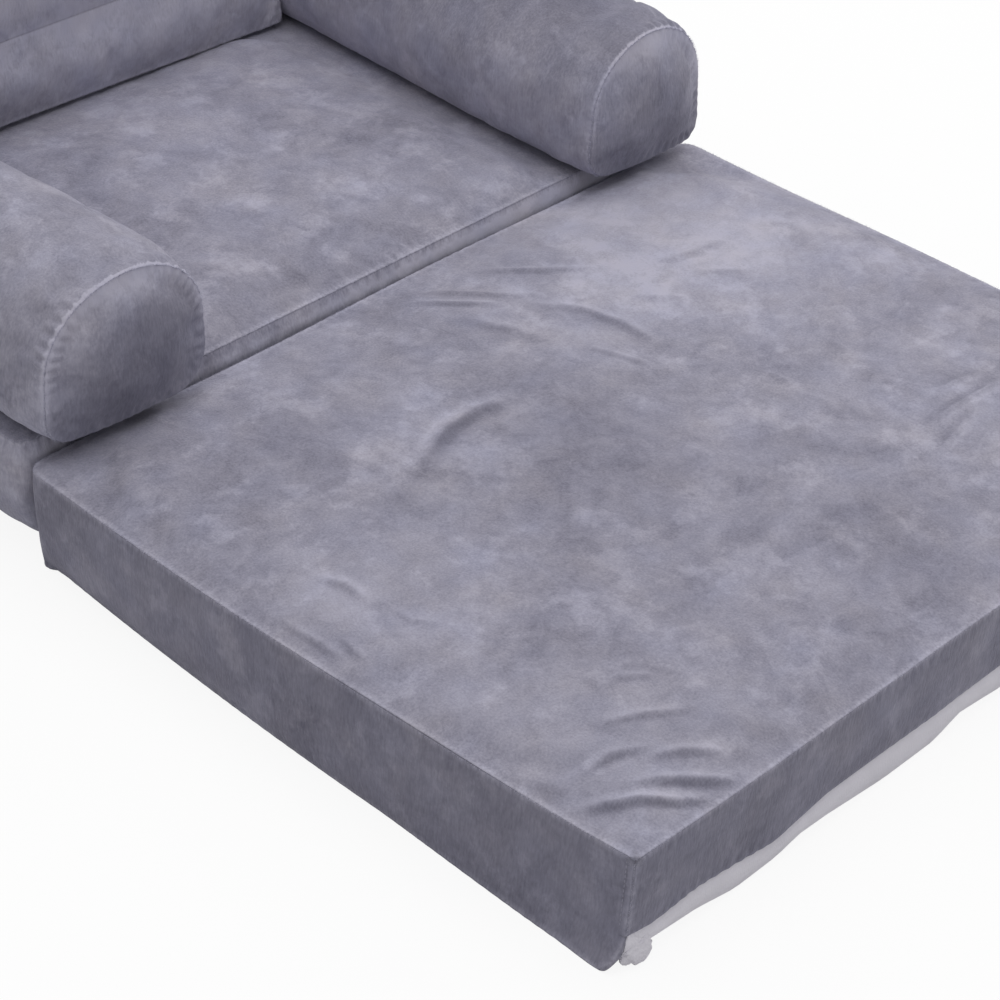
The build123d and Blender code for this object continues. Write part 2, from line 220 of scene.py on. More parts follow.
for name, (place, side, power) in SOFTBOXES.items():
    lamp_data = bpy.data.lights.new(name, "AREA")
    lamp_data.shape = "SQUARE"
    lamp_data.size = side
    lamp_data.energy = power
    aim = (LAMP_AIM - place).to_track_quat("-Z", "Y")
    new_object(name, lamp_data).matrix_world = Matrix.Translation(place) @ aim.to_matrix().to_4x4()

# %% [markdown]
# ## Plush
#
# The cover is short-pile crystal plush: a polyester knit whose 2 mm pile is cut and brushed.
# The eye gets three things from it. Where the pile leans towards the light it is pale, where it
# leans away it is dark, and hands leave cloudy patches of both, a hand wide down to a finger
# wide. The pile stands in tufts about 1.5 mm wide, which fall into streaks down the upright
# panels. And it has a soft sheen at grazing angles, with no gloss at all.
# An image of plush would repeat, so noise in real units draws all of it. Noise that is
# stretched along Z gives round grain on the level panels and streaks on the upright ones.
# Three values travel with the mesh: how pale the pile is, partly its nap and partly painted light
# and shade; seam_gap, the distance to the nearest seam; and seam_run, the way along that seam,
# which the gathers follow.

# %% Plush
HAND_PATCH = 0.070
FINGER_PATCH = 0.018
SCUFF = 0.034
TUFT = 0.0015
STREAK_SHARE = 0.26
GATHER_PITCH = 0.0046
# A painted shade darkens each seam itself, and a painted highlight pales the pile beside it, out to these
# reaches.
SEAM_SHADE_REACH = 0.0012
SEAM_HIGHLIGHT_REACH = 0.0042


def plush(name, dark, pale, warm_pale):
    """Short-pile plush between its dark and pale nap colours, the pale one varied in warmth."""
    material, tree = new_material(name)
    place = add_node(tree, "ShaderNodeTexCoord").outputs["Object"]
    lying = add_node(tree, "ShaderNodeMapping", {"Vector": place, "Scale": (1, 1, STREAK_SHARE)})
    moved = add_node(tree, "ShaderNodeMapping", {"Vector": place, "Location": (0.7, 0.2, 0.4)})
    # How pale the pile is comes in first: its nap, with painted light and shade.
    nap_and_light, gap, run = [
        add_node(tree, "ShaderNodeAttribute", attribute_name=carried).outputs["Fac"]
        for carried in ("nap_and_light", "seam_gap", "seam_run")
    ]
    # Each noise: where it lies, its size in metres, its detail, roughness and distortion.
    hands, fingers, scuffs, pile, warmth = [
        add_node(
            tree,
            "ShaderNodeTexNoise",
            {"Vector": where, "Scale": 1 / size, "Detail": detail, "Roughness": rough, "Distortion": bend},
        )
        for where, size, detail, rough, bend in (
            (place, HAND_PATCH, 5, 0.62, 0.7),
            (place, FINGER_PATCH, 5, 0.66, 0.8),
            (place, SCUFF, 6, 0.7, 0),
            (lying, TUFT, 3, 0.6, 0),
            (moved, SCUFF, 3, 0.5, 0),
        )
    ]
    scuffs = add_node(
        tree, "ShaderNodeMapRange", {0: scuffs, 1: 0.50, 2: 0.64}, interpolation_type="SMOOTHSTEP"
    )
    swing = 0.0
    for noise, weight in ((hands, 0.8), (fingers, 0.62), (scuffs, 0.20), (pile, 0.55)):
        centred = add_node(tree, "ShaderNodeMath", {0: noise, 1: 0.5}, operation="SUBTRACT")
        swing = add_node(tree, "ShaderNodeMath", {0: centred, 1: weight, 2: swing}, operation="MULTIPLY_ADD")
    # Pile that is brushed flat, as on the bands, shows less of the patches.
    loose = add_node(tree, "ShaderNodeMapRange", {0: nap_and_light, 1: 0.3, 2: 0.6, 3: 0.62, 4: 1})
    lean = add_node(tree, "ShaderNodeMath", {0: swing, 1: loose, 2: nap_and_light}, operation="MULTIPLY_ADD")
    # Beside a seam the pile stands up, and it is painted paler there, a painted highlight where the
    # seam's edge catches the light.
    fuzz_highlight = add_node(
        tree, "ShaderNodeMapRange", {0: gap, 1: SEAM_SHADE_REACH, 2: SEAM_HIGHLIGHT_REACH, 3: 0.40, 4: 0}
    )
    lean = add_node(tree, "ShaderNodeMath", {0: fuzz_highlight, 1: pile, 2: lean}, operation="MULTIPLY_ADD")
    tip = add_node(
        tree, "ShaderNodeMix", {0: warmth, 6: linear(pale), 7: linear(warm_pale)}, data_type="RGBA"
    )
    colour = add_node(
        tree,
        "ShaderNodeMix",
        {0: lean, 6: linear(dark), 7: tip.outputs[2]},
        data_type="RGBA",
        clamp_factor=True,
    )
    shade = add_node(
        tree,
        "ShaderNodeMapRange",
        {0: gap, 1: 0, 2: SEAM_SHADE_REACH, 3: 0.76, 4: 1},
        interpolation_type="SMOOTHSTEP",
    )
    shaded = add_node(
        tree,
        "ShaderNodeMix",
        {0: 1.0, 6: colour.outputs[2], 7: shade},
        data_type="RGBA",
        blend_type="MULTIPLY",
    )
    # The cloth is gathered a little along each seam.
    turns = add_node(tree, "ShaderNodeMath", {0: run, 1: 2 * pi / GATHER_PITCH}, operation="MULTIPLY")
    uneven = add_node(tree, "ShaderNodeMath", {0: fingers, 1: 9, 2: turns}, operation="MULTIPLY_ADD")
    wave = add_node(tree, "ShaderNodeMath", {0: uneven}, operation="SINE")
    near = add_node(
        tree,
        "ShaderNodeMapRange",
        {0: gap, 1: 0.001, 2: 0.006, 3: 0.22, 4: 0},
        interpolation_type="SMOOTHSTEP",
    )
    relief = add_node(tree, "ShaderNodeMath", {0: wave, 1: near, 2: pile}, operation="MULTIPLY_ADD")
    bump = add_node(tree, "ShaderNodeBump", {"Height": relief, "Distance": 0.0010, "Strength": 0.5})
    shader = add_node(
        tree,
        "ShaderNodeBsdfPrincipled",
        {
            "Base Color": shaded.outputs[2],
            "Normal": bump,
            "Roughness": 0.95,
            "Specular IOR Level": 0.12,
            "Sheen Weight": 0.35,
            "Sheen Roughness": 0.45,
            "Sheen Tint": linear("#D9D7E4"),
        },
    )
    add_node(tree, "ShaderNodeOutputMaterial", {"Surface": shader})
    return material


grey_plush = plush("grey_crystal_plush", "#595867", "#A7A8BE", "#B8B3BC")
print("made", grey_plush.name)

# %% [markdown]
# ## Lining, thread, zips and foam
#
# The underside is white spunbonded polypropylene: matt, with a faint embossed dot grid.
# The zips are woven polyester tape with moulded acetal teeth and a die-cast, painted slider.
# The foam inside is open-cell polyurethane, which no view shows unless the covers come off.


# %% The other materials
def fine_finish(name, hex_colour, grain, depth, roughness, metallic=None):
    """A fine even finish, varied a little in colour.

    Its relief is cells of cloth, or orange peel where metallic is given.
    """
    size = 1 / grain
    material, tree = new_material(name)
    place = add_node(tree, "ShaderNodeTexCoord").outputs["Object"]
    if metallic is None:
        relief = add_node(tree, "ShaderNodeTexVoronoi", {"Vector": place, "Scale": size, "Randomness": 0.35})
        clouds = add_node(tree, "ShaderNodeTexNoise", {"Vector": place, "Scale": 60, "Detail": 3})
        darker, strength, settings = 0.84, 0.6, {"Sheen Weight": 0.1}
    else:
        relief = clouds = add_node(tree, "ShaderNodeTexNoise", {"Vector": place, "Scale": size, "Detail": 2})
        darker, strength, settings = 0.8, 0.5, {"Metallic": metallic}
    tone = [share * darker for share in linear(hex_colour)[:3]] + [1]
    colour = add_node(tree, "ShaderNodeMix", {0: clouds, 6: tone, 7: linear(hex_colour)}, data_type="RGBA")
    bump = add_node(tree, "ShaderNodeBump", {"Height": relief, "Distance": depth, "Strength": strength})
    settings |= {"Base Color": colour.outputs[2], "Normal": bump, "Roughness": roughness}
    shader = add_node(tree, "ShaderNodeBsdfPrincipled", settings)
    add_node(tree, "ShaderNodeOutputMaterial", {"Surface": shader})
    return material


# Spunbond is embossed with dots about 1 mm apart, drawn at 1.6 mm so that they show.
white_lining = fine_finish("white_spunbond_lining", "#DEDBE4", 0.0016, 0.0004, 0.9)
# Zip tape is a twill of 0.35 mm yarns, drawn at 0.7 mm so that it shows.
zip_tape = fine_finish("woven_zip_tape", "#6E6C7A", 0.0007, 0.0003, 0.85)
# Flexible foam has cells of about 0.6 mm, drawn at 1.2 mm so that they show.
foam = fine_finish("cut_polyurethane_foam", "#E6DFC8", 0.0012, 0.0006, 1)
# Acetal teeth are satin, straight from the mould.
zip_teeth = fine_finish("moulded_acetal_teeth", "#5F5D6B", 0.0011, 0.00005, 0.42, 0)
# The slider is zinc, tumbled and spray painted, so its edges are soft and its gloss is low.
zip_slider = fine_finish("painted_zinc_slider", "#74727F", 0.0016, 0.00004, 0.36, 0.55)

ZIP_FINISHES = {
    "zip_tapes": zip_tape,
    "zip_teeth": zip_teeth,
    "zip_slider": zip_slider,
    "zip_pull": zip_slider,
}
dressed = [
    dress(node, finish)
    for name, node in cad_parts.items()
    for ending, finish in ZIP_FINISHES.items()
    if name.endswith(ending)
]
print("parts of zips dressed:", len(dressed))

# %% [markdown]
# ## How a stuffed cover is made here
#
# On the bench, a cover is cut from flat panels, sewn inside out, turned, and filled with a foam
# block. The panels swell between the seams, the seams stay drawn in, and the plush puckers
# along them. The same steps work in Blender:
#
# 1. stack outlines of the block into a closed shell, a little smaller than the filled cover;
# 2. remesh it into even squares, because cloth swells evenly only on an even mesh;
# 3. hold the seams and blow the shell up with the cloth simulation, with no gravity;
# 4. refine it once, and press in what the squares are too coarse for: seams and creases.
#
# Subdivision alone would round the corners without any tension in the panels, and sculpting
# by hand could not be run again, so the simulation is the better tool.


# %% Outlines and shells
def rounded_plan(corners, radii, bows, spacing=0.008, arc_steps=5):
    """Points round a shape with rounded corners, anticlockwise. bows pushes each side outwards."""
    points = []
    count = len(corners)
    for i in range(count):
        before, corner, after = (np.array(corners[(i + k) % count], float) for k in (-1, 0, 1))
        arriving = (corner - before) / np.linalg.norm(corner - before)
        leaving = (after - corner) / np.linalg.norm(after - corner)
        centre = corner + radii[i] * (leaving - arriving)
        for step in range(arc_steps + 1):
            turn = pi / 2 * step / arc_steps
            points.append(centre - radii[i] * leaving * cos(turn) + radii[i] * arriving * sin(turn))
        start = corner + radii[i] * leaving
        end = after - radii[(i + 1) % count] * leaving
        outwards = np.array((leaving[1], -leaving[0]))
        pieces = max(2, round(np.linalg.norm(end - start) / spacing))
        for step in range(1, pieces):
            t = step / pieces
            points.append(start + t * (end - start) + bows[i] * (1 - (2 * t - 1) ** 2) * outwards)
    return np.array(points)


def corners(left, near, right, far):
    """The corners of a rectangle, anticlockwise."""
    return [(left, near), (right, near), (right, far), (left, far)]


def drawn_in(outline, inset, share=1.0):
    """The outline drawn in along its normals by one inset or one per point, then scaled by share."""
    along = np.roll(outline, -1, 0) - np.roll(outline, 1, 0)
    normal = np.stack((along[:, 1], -along[:, 0]), 1)
    normal /= np.linalg.norm(normal, axis=1)[:, None]
    limit = max(0, np.min(inset))
    moved = outline - normal * np.reshape(inset, (-1, 1))
    if np.min(inset) >= 0:
        moved = np.clip(moved, outline.min(0) + limit, outline.max(0) - limit)
    middle = (outline.max(0) + outline.min(0)) / 2
    return (moved - middle) * share + middle


def shell(name, rings, folded=False):
    """A closed object from rings of as many 3-D points each.

    A fan closes each end, or rungs between the two halves of a ring that is a folded strip.
    """
    count = len(rings[0])
    points = np.concatenate(rings + [rings[0].mean(0)[None], rings[-1].mean(0)[None]] * (not folded))
    faces = []
    for level in range(len(rings) - 1):
        for i in range(count):
            j = (i + 1) % count
            low, high = level * count, (level + 1) * count
            faces.append((low + i, low + j, high + j, high + i))
    last = (len(rings) - 1) * count
    for start in (0, last) * folded:
        for i in range(count // 2 - 1):
            faces.append((start + i, start + i + 1, start + count - 2 - i, start + count - 1 - i))
    for i in range(count * (not folded)):
        j = (i + 1) % count
        faces.append((len(rings) * count, j, i))
        faces.append((len(rings) * count + 1, last + i, last + j))
    mesh = bpy.data.meshes.new(name)
    mesh.from_pydata(points.tolist(), [], faces)
    shaper = bmesh.new()
    shaper.from_mesh(mesh)
    bmesh.ops.recalc_face_normals(shaper, faces=shaper.faces)
    shaper.to_mesh(mesh)
    shaper.free()
    return new_object(name, mesh)


# %% Swelling a shell with its filling
def places(piece):
    """The vertices of a piece as rows of x, y, z."""
    rows = np.zeros(len(piece.data.vertices) * 3, np.float32)
    piece.data.vertices.foreach_get("co", rows)
    return rows.reshape(-1, 3).astype(float)


def put(piece, rows):
    """Moves the vertices of a piece to rows."""
    piece.data.vertices.foreach_set("co", rows.astype(np.float32).ravel())
    piece.data.update()


def smooth_faces(piece):
    """Lets the light run smoothly over the faces of a piece."""
    piece.data.polygons.foreach_set("use_smooth", [True] * len(piece.data.polygons))


def settle(piece):
    """Applies the modifiers of a piece."""
    scene.view_layers[0].update()
    graph = bpy.context.evaluated_depsgraph_get()
    mesh = bpy.data.meshes.new_from_object(piece.evaluated_get(graph))
    piece.modifiers.clear()
    piece.data = mesh


def seam_points(lines, spacing=0.0004):
    """Closely spaced points on seam lines, with the way along each. A line is an array of 3-D points."""
    spots, runs, start = [], [], 0
    for line in lines:
        steps = np.linalg.norm(np.diff(line, axis=0), axis=1)
        way = np.concatenate(([0], np.cumsum(steps)))
        stops = np.arange(0, way[-1], spacing)
        spots.append(np.stack([np.interp(stops, way, line[:, axis]) for axis in range(3)], 1))
        runs.append(start + stops)
        start += way[-1]
    return np.concatenate(spots), np.concatenate(runs)


def seam_reach(rows, lines):
    """For each place, the distance to the nearest seam, the way along it and the nearest spot on it."""
    spots, runs = seam_points(lines)
    tree = KDTree(len(spots))
    for number, spot in enumerate(spots):
        tree.insert(spot, number)
    tree.balance()
    found = [tree.find(row) for row in rows]
    nearest = [hit[1] for hit in found]
    return np.array([hit[2] for hit in found]), runs[nearest], spots[nearest]


def fill_cover(piece, lines, firm, voxel=0.006, cap=0.006, pressure=4.0, slack=0.02):
    """Remeshes a shell, swells it between its held seams and refines it once.

    firm(rows) says from 0 to 1 how firmly each place is held by what it rests on.
    slack is how much wider the cloth is cut than the foam, which makes it pucker.
    """
    remesh = piece.modifiers.new("even squares", "REMESH")
    remesh.mode = "VOXEL"
    remesh.voxel_size = voxel
    settle(piece)
    before = places(piece)
    gap, _, _ = seam_reach(before, lines)
    held = np.maximum(np.clip(1.6 - gap / 0.005, 0, 1), firm(before))
    group = piece.vertex_groups.new(name="held")
    for number, weight in enumerate(held):
        if weight > 0:
            group.add([number], float(weight), "REPLACE")
    cloth = piece.modifiers.new("filling", "CLOTH")
    cloth.settings.use_pressure = True
    cloth.settings.uniform_pressure_force = pressure
    cloth.settings.effector_weights.gravity = 0
    cloth.settings.vertex_group_mass = "held"
    cloth.settings.shrink_min = -slack
    cloth.point_cache.frame_start = 1
    cloth.point_cache.frame_end = 20
    for number in range(1, 21):
        scene.frame_set(number)
    settle(piece)
    scene.frame_set(1)
    move = places(piece) - before
    length = np.linalg.norm(move, axis=1)
    print(piece.name, "swelled by up to", round(length.max() * 1000, 1), "mm")
    reach = cap * np.tanh(length / cap) * (1 - firm(before))
    put(piece, before + move * (reach / np.maximum(length, 1e-9))[:, None])
    smooth = piece.modifiers.new("refine", "SUBSURF")
    smooth.levels = smooth.render_levels = 1
    settle(piece)
    piece.vertex_groups.clear()
    smooth_faces(piece)


# %% Pressing in seams and creases
def vertex_normals(piece):
    rows = np.zeros(len(piece.data.vertices) * 3, np.float32)
    piece.data.vertex_normals.foreach_get("vector", rows)
    return rows.reshape(-1, 3).astype(float)


def carry(piece, name, values):
    """Stores one number per vertex under a name that the material reads."""
    kept = piece.data.attributes.get(name) or piece.data.attributes.new(name, "FLOAT", "POINT")
    kept.data.foreach_set("value", np.asarray(values, np.float32))


def waves(rows, size, seed, count=14):
    """A smooth random field of about -1 to 1, with bumps of one size: a sum of plane waves."""
    chance = np.random.default_rng(seed)
    total = np.zeros(len(rows))
    for _ in range(count):
        direction = chance.normal(size=3)
        direction /= np.linalg.norm(direction)
        pitch = size * chance.uniform(1.4, 2.8)
        total += np.sin(rows @ direction * 2 * pi / pitch + chance.uniform(0, 2 * pi))
    return total / count**0.5


SEAM_PULL_SHARE = 0.85
SEAM_PULL_REACH = 0.0035
SEAM_FINE_REACH = 0.010
SEAM_EVEN_REACH = 0.007


def refine_near(piece, close):
    """Halves the squares whose corners are all marked close."""
    shaper = bmesh.new()
    shaper.from_mesh(piece.data)
    edges = [edge for edge in shaper.edges if all(close[vertex.index] for vertex in edge.verts)]
    bmesh.ops.subdivide_edges(shaper, edges=edges, cuts=1, use_grid_fill=True)
    bmesh.ops.triangulate(shaper, faces=[face for face in shaper.faces if len(face.verts) > 4])
    shaper.to_mesh(piece.data)
    shaper.free()


def evened(piece, rows, share):
    """The rows, each moved by its share of the way to the middle of its neighbours."""
    ends = np.zeros(len(piece.data.edges) * 2, np.int32)
    piece.data.edges.foreach_get("vertices", ends)
    first, second = ends.reshape(-1, 2).T
    total = np.zeros_like(rows)
    np.add.at(total, first, rows[second])
    np.add.at(total, second, rows[first])
    count = np.bincount(ends, minlength=len(rows))[:, None]
    return rows + (total / count - rows) * share[:, None]


def draw_out(piece, line, reach, rounds=2):
    """Draws the skin out to a sharp edge that the filling has rounded off."""
    rows = places(piece)
    for _ in range(rounds):
        gap, _, spot = seam_reach(rows, [line])
        rows += (spot - rows) * 0.9 * bell(gap, reach)[:, None]
    put(piece, rows)


def sew(piece, lines, pucker=0.0004, pitch=0.009, seed=1):
    """Pulls the cloth to its seams, puckers it beside them and stores where they are."""
    gap, _, _ = seam_reach(places(piece), lines)
    refine_near(piece, gap < SEAM_FINE_REACH)
    rows = places(piece)
    gap, _, _ = seam_reach(rows, lines)
    rows = evened(piece, rows, 0.5 * bell(gap, SEAM_EVEN_REACH))
    for _ in range(2):
        gap, run, spot = seam_reach(rows, lines)
        pull = SEAM_PULL_SHARE * bell(gap, SEAM_PULL_REACH)
        rows += (spot - rows) * pull[:, None]
    gap, run, _ = seam_reach(rows, lines)
    put(piece, rows)
    ripple = np.sin(2 * pi * run / pitch + 2.2 * waves(rows, 0.03, seed))
    uneven = np.clip(0.5 + 0.6 * waves(rows, 0.045, seed + 1), 0, 1.3)
    side = pucker * uneven * ripple * bell(gap - 0.005, 0.004)
    put(piece, rows + vertex_normals(piece) * side[:, None])
    carry(piece, "seam_gap", gap)
    carry(piece, "seam_run", run)


def stroke(rows, line, width):
    """How near each place is to a line, from 0 to 1, and on which side of it, from -1 to 1.

    The line is a few points in plan. It thins out towards both ends.
    """
    line = np.array(line, float)
    best = np.full(len(rows), 1e9)
    side = np.zeros(len(rows))
    along = np.zeros(len(rows))
    lengths = np.linalg.norm(np.diff(line, axis=0), axis=1)
    total = lengths.sum()
    start = 0.0
    for a, b, length in zip(line[:-1], line[1:], lengths):
        unit = (b - a) / length
        flat = rows[:, :2] - a
        t = np.clip(flat @ unit, 0, length)
        away = flat - t[:, None] * unit
        distance = np.linalg.norm(away, axis=1)
        closer = distance < best
        best = np.where(closer, distance, best)
        across = away @ np.array((-unit[1], unit[0]))
        side = np.where(closer, np.clip(across / width, -1, 1), side)
        along = np.where(closer, (start + t) / total, along)
        start += length
    strength = bell(best, width) * np.sin(pi * np.clip(along, 0.02, 0.98)) ** 0.6
    return strength, side


print("helpers ready")

# %% [markdown]
# ## Fold-out pad
#
# The pad is the piece that fills the photograph. It is a foam slab in a snug cover: an almost
# flat top with a shallow crown, a band that stands upright, and a seam round the top edge. Its
# left side bows out a few millimetres. The right side is straight, because its zip is there.
# At the foot the band stops short of the floor, and its edge runs in waves over the lining.

# %% Pad: sizes from the frame
pad_low, pad_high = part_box("pad_side_band")
PAD_LEFT_BOW = 0.007
PAD_FOOT_BOW = 0.003
PAD_SEAM_HEIGHT = pad_high.z
CREASE_RADIUS = 0.012
FOOT_RADIUS = 0.004
SEAM_DRAW = 0.0008
COVER_ALLOWANCE = 0.0006

pad_left = pad_low.x + PAD_LEFT_BOW
pad_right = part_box("pad_zip_tapes")[0].x
pad_near = pad_high.y
pad_far = pad_low.y + PAD_FOOT_BOW
pad_plan = rounded_plan(
    corners(pad_left, pad_far, pad_right, pad_near),
    [FOOT_RADIUS, FOOT_RADIUS, CREASE_RADIUS, CREASE_RADIUS],
    [PAD_FOOT_BOW, 0, 0, PAD_LEFT_BOW],
)
print("pad plan:", round(pad_right - pad_left, 3), "by", round(pad_near - pad_far, 3), "m")

# %% Pad: the plush cover
EDGE_HEIGHT = 0.0004
CORNER_LIFT = 0.021
CORNER_LIFT_REACH = 0.011
SIDE_TUCK = 0.0020
SIDE_FLARE = 0.0108
SIDE_FLARE_REACH = 0.17
CREASE_TUCK = 0.0120
CREASE_TUCK_REACH = 0.40
# Places along the foot from left to right, and the heights of the band's and the lining's edge there.
FOOT_X = (
    *(-0.300, -0.275, -0.241, -0.208, -0.176, -0.158, -0.132, -0.080),
    *(-0.034, -0.013, 0.030, 0.090, 0.150, 0.210, 0.270, 0.300),
)
BAND_EDGE = (
    *(0.0205, 0.0160, 0.0190, 0.0155, 0.0110, 0.0145, 0.0190, 0.0190),
    *(0.0180, 0.0190, 0.0190, 0.0160, 0.0195, 0.0160, 0.0185, 0.0150),
)
LINING_EDGE = (
    *(0.0120, 0.0095, 0.0065, 0.0004, 0.0025, 0.0070, 0.0055, 0.0010),
    *(0.0010, 0.0090, 0.0040, 0.0010, 0.0070, 0.0020, 0.0040, 0.0020),
)


def level_ring(outline, inset, height, share=1.0):
    """The outline drawn in and laid level at a height, or at one height for each point."""
    flat = drawn_in(outline, inset, share)
    return np.column_stack((flat, np.broadcast_to(height, len(flat))))


def closed(ring):
    """A ring as a line that ends where it starts."""
    return np.concatenate((ring, ring[:1]))


on_left = pad_plan[:, 0] < pad_left + 0.5 * FOOT_RADIUS
on_foot = np.clip(1 - (pad_plan[:, 1] - pad_far - 0.001) / FOOT_RADIUS, 0, 1)
from_foot = pad_plan[:, 1] - pad_far
foot_edge = np.interp(pad_plan[:, 0], FOOT_X, BAND_EDGE)
corner_lift = CORNER_LIFT * on_left * np.clip(1 - from_foot / CORNER_LIFT_REACH, 0, 1) ** 2
pad_edge = EDGE_HEIGHT + np.maximum(on_foot * foot_edge, corner_lift)
lining_edge = on_foot * np.interp(pad_plan[:, 0], FOOT_X, LINING_EDGE)
by_crease = np.clip(1 - (pad_near - pad_plan[:, 1]) / CREASE_TUCK_REACH, 0, 1) ** 1.3
by_side = np.clip(1 - (pad_plan[:, 0] - pad_left) / CREASE_RADIUS, 0, 1)
flare = SIDE_FLARE * on_left * (1 - on_foot) * np.clip(1 - from_foot / SIDE_FLARE_REACH, 0, 1) ** 1.3
tuck = SIDE_TUCK + CREASE_TUCK * by_crease * by_side - flare

# Each ring of the shell, from the floor up: how far it is drawn in, its height and its scale.
pad_rings = [
    level_ring(pad_plan, *ring)
    for ring in (
        (0.004, EDGE_HEIGHT, 0.55),
        (tuck + 0.018, EDGE_HEIGHT),
        (tuck, pad_edge),
        (0.50 * tuck, pad_edge + 0.009),
        (0.20 * tuck + COVER_ALLOWANCE, pad_edge + 0.022),
        (COVER_ALLOWANCE, PAD_SEAM_HEIGHT - 0.020),
        (COVER_ALLOWANCE, PAD_SEAM_HEIGHT - 0.003),
        (SEAM_DRAW, PAD_SEAM_HEIGHT),
        (0.009, PAD_SEAM_HEIGHT + 0.0012),
        (0.009, PAD_SEAM_HEIGHT + 0.003, 0.92),
        (0.009, PAD_SEAM_HEIGHT + 0.004, 0.5),
    )
]
pad_cover = shell("pad_plush_cover", pad_rings)
pad_foot_seam, pad_top_seam = pad_rings[2], pad_rings[7]
CORNER_SEAM_INSET = 0.0018
pad_corner_seam = np.array(
    [(pad_left + CORNER_SEAM_INSET, pad_far + CORNER_SEAM_INSET, z) for z in (0.022, PAD_SEAM_HEIGHT)]
)
pad_lines = [closed(pad_top_seam), closed(pad_foot_seam), pad_corner_seam]

BAND_FIRM_SHARE = 0.7
# At the front left corner the band's toe spreads over the floor.
TOE_PLACE = (pad_left - 0.004, pad_far + 0.010, 0.002)
TOE_REACH = 0.014
TOE_SPREAD = np.array((-0.0015, -0.0028, -0.0025))
TOE_ROUND_REACH = 0.013


def pad_firm(rows):
    """The underside rests on the lining, the band is snug, and the zip and crease sides are flat."""
    floor_held = np.clip((0.014 - rows[:, 2]) / 0.006, BAND_FIRM_SHARE, 1)
    floor_held *= rows[:, 2] < PAD_SEAM_HEIGHT - 0.003
    zip_held = ramp(rows[:, 0] - (pad_right - 0.004), 0.002) * (rows[:, 2] < PAD_SEAM_HEIGHT - 0.002)
    crease_held = ramp(rows[:, 1] - (pad_near - 0.005), 0.003)
    return np.maximum(np.maximum(floor_held, zip_held), crease_held)


fill_cover(pad_cover, pad_lines, pad_firm)
draw_out(pad_cover, closed(pad_foot_seam), 0.0055)
print("pad cover:", len(pad_cover.data.polygons), "faces")

# %% [markdown]
# The cover's slack lies in creases that hands left in it: long thin ones that fan out from the
# middle of the crease, a crescent fold on the left half, and short ripples near the front
# corner. Each is a stroke in plan, with its width and height, all in millimetres.

# %% Pad: creases
PAD_CREASES = [
    ([(28, -74), (7, -50), (-9, -33)], 4, 1.6),
    ([(59, -86), (36, -66), (17, -41), (4, -23)], 4, 1.1),
    ([(110, -87), (78, -63), (50, -36)], 4.5, 1.5),
    ([(67, -172), (69, -140), (61, -111), (41, -87)], 6, 1.6),
    ([(45, -186), (38, -164), (30, -145)], 4, 1),
    ([(17, -121), (10, -98), (-1, -71)], 7.5, 1.4),
    ([(198, -117), (167, -114), (136, -106)], 6, 1.4),
    ([(178, -155), (145, -130)], 5, 0.9),
    ([(123, -150), (97, -122)], 5, 0.9),
    ([(-48, -151), (-76, -145), (-100, -147), (-122, -156), (-142, -167)], 8, 2.8),
    ([(-234, -458), (-248, -450), (-268, -434), (-289, -419)], 4.5, 2.4),
    ([(-213, -457), (-233, -444), (-259, -426)], 5, 2.4),
    ([(-203, -443), (-221, -428), (-236, -420)], 4.5, 1.5),
    ([(-231, -415), (-251, -405), (-276, -403)], 4.5, 1.4),
    ([(-193, -411), (-216, -396), (-238, -386)], 4.5, 1.4),
    ([(-187, -380), (-205, -367)], 4, 1),
    ([(117, -338), (143, -338), (167, -339), (196, -340)], 4.5, 1.8),
    ([(152, -320), (170, -322), (195, -327)], 4.5, 1.4),
    ([(101, -359), (123, -355), (145, -351)], 4.5, 1.4),
    ([(127, -287), (143, -283)], 4, 0.8),
    ([(-250, -230), (-248, -213), (-256, -196)], 5.5, 1.6),
    ([(-250, -232), (-262, -255), (-268, -271)], 4.5, 1),
    ([(-236, -273), (-246, -260), (-245, -246)], 4, 1),
    ([(-291, -252), (-291, -228), (-291, -206)], 4, 1),
    ([(-285, -264), (-281, -242)], 4, 0.9),
]
TOP_WAVE = 0.0011
TOP_WAVE_SIZE = 0.075
CREASE_GAIN = 1.5
# How much a metre of crease height paints the cloth paler on its right, which faces the light, as
# painted light, and darker on its left, as painted shade.
CREASE_PAINTED_LIGHT = 270


def crease_top(piece, creases, seam_height, seed):
    """Raises each crease along its line and sinks the cloth on its left, as seen along the line."""
    creases = [(np.array(line) / 1000, width / 1000, height / 1000) for line, width, height in creases]
    rows = places(piece)
    close = np.zeros(len(rows), bool)
    for line, width, _ in creases:
        close |= stroke(rows, line, 2 * width)[0] > 0.2
    refine_near(piece, close & (rows[:, 2] > seam_height - 0.002))
    rows = places(piece)
    on_top = ramp(rows[:, 2] - (seam_height - 0.004), 0.004)
    lift = TOP_WAVE * waves(rows * (1, 1, 0), TOP_WAVE_SIZE, seed) * on_top
    # This sums the painted light and shade beside the creases, which is returned.
    lean = np.zeros(len(rows))
    for line, width, height in creases:
        strength, side = stroke(rows, line, width)
        ridge, _ = stroke(rows, line, width * 0.5)
        lift += CREASE_GAIN * height * (0.9 * ridge - 0.6 * strength * (1 + side) / 2)
        lean += CREASE_PAINTED_LIGHT * height * (strength * -side)
    rows[:, 2] += on_top * lift
    put(piece, rows)
    return on_top * lean


sew(pad_cover, pad_lines, seed=7)
rows = places(pad_cover)
near_toe = bell(np.linalg.norm(rows - TOE_PLACE, axis=1), TOE_REACH)
rows += near_toe[:, None] * TOE_SPREAD
for _ in range(10):
    rows = evened(pad_cover, rows, 0.5 * near_toe ** (TOE_REACH / TOE_ROUND_REACH))
rows[:, 2] = np.maximum(rows[:, 2], 0.0002)
put(pad_cover, rows)
pad_crease_light = crease_top(pad_cover, PAD_CREASES, PAD_SEAM_HEIGHT, 4)
print("pad creases:", len(PAD_CREASES))
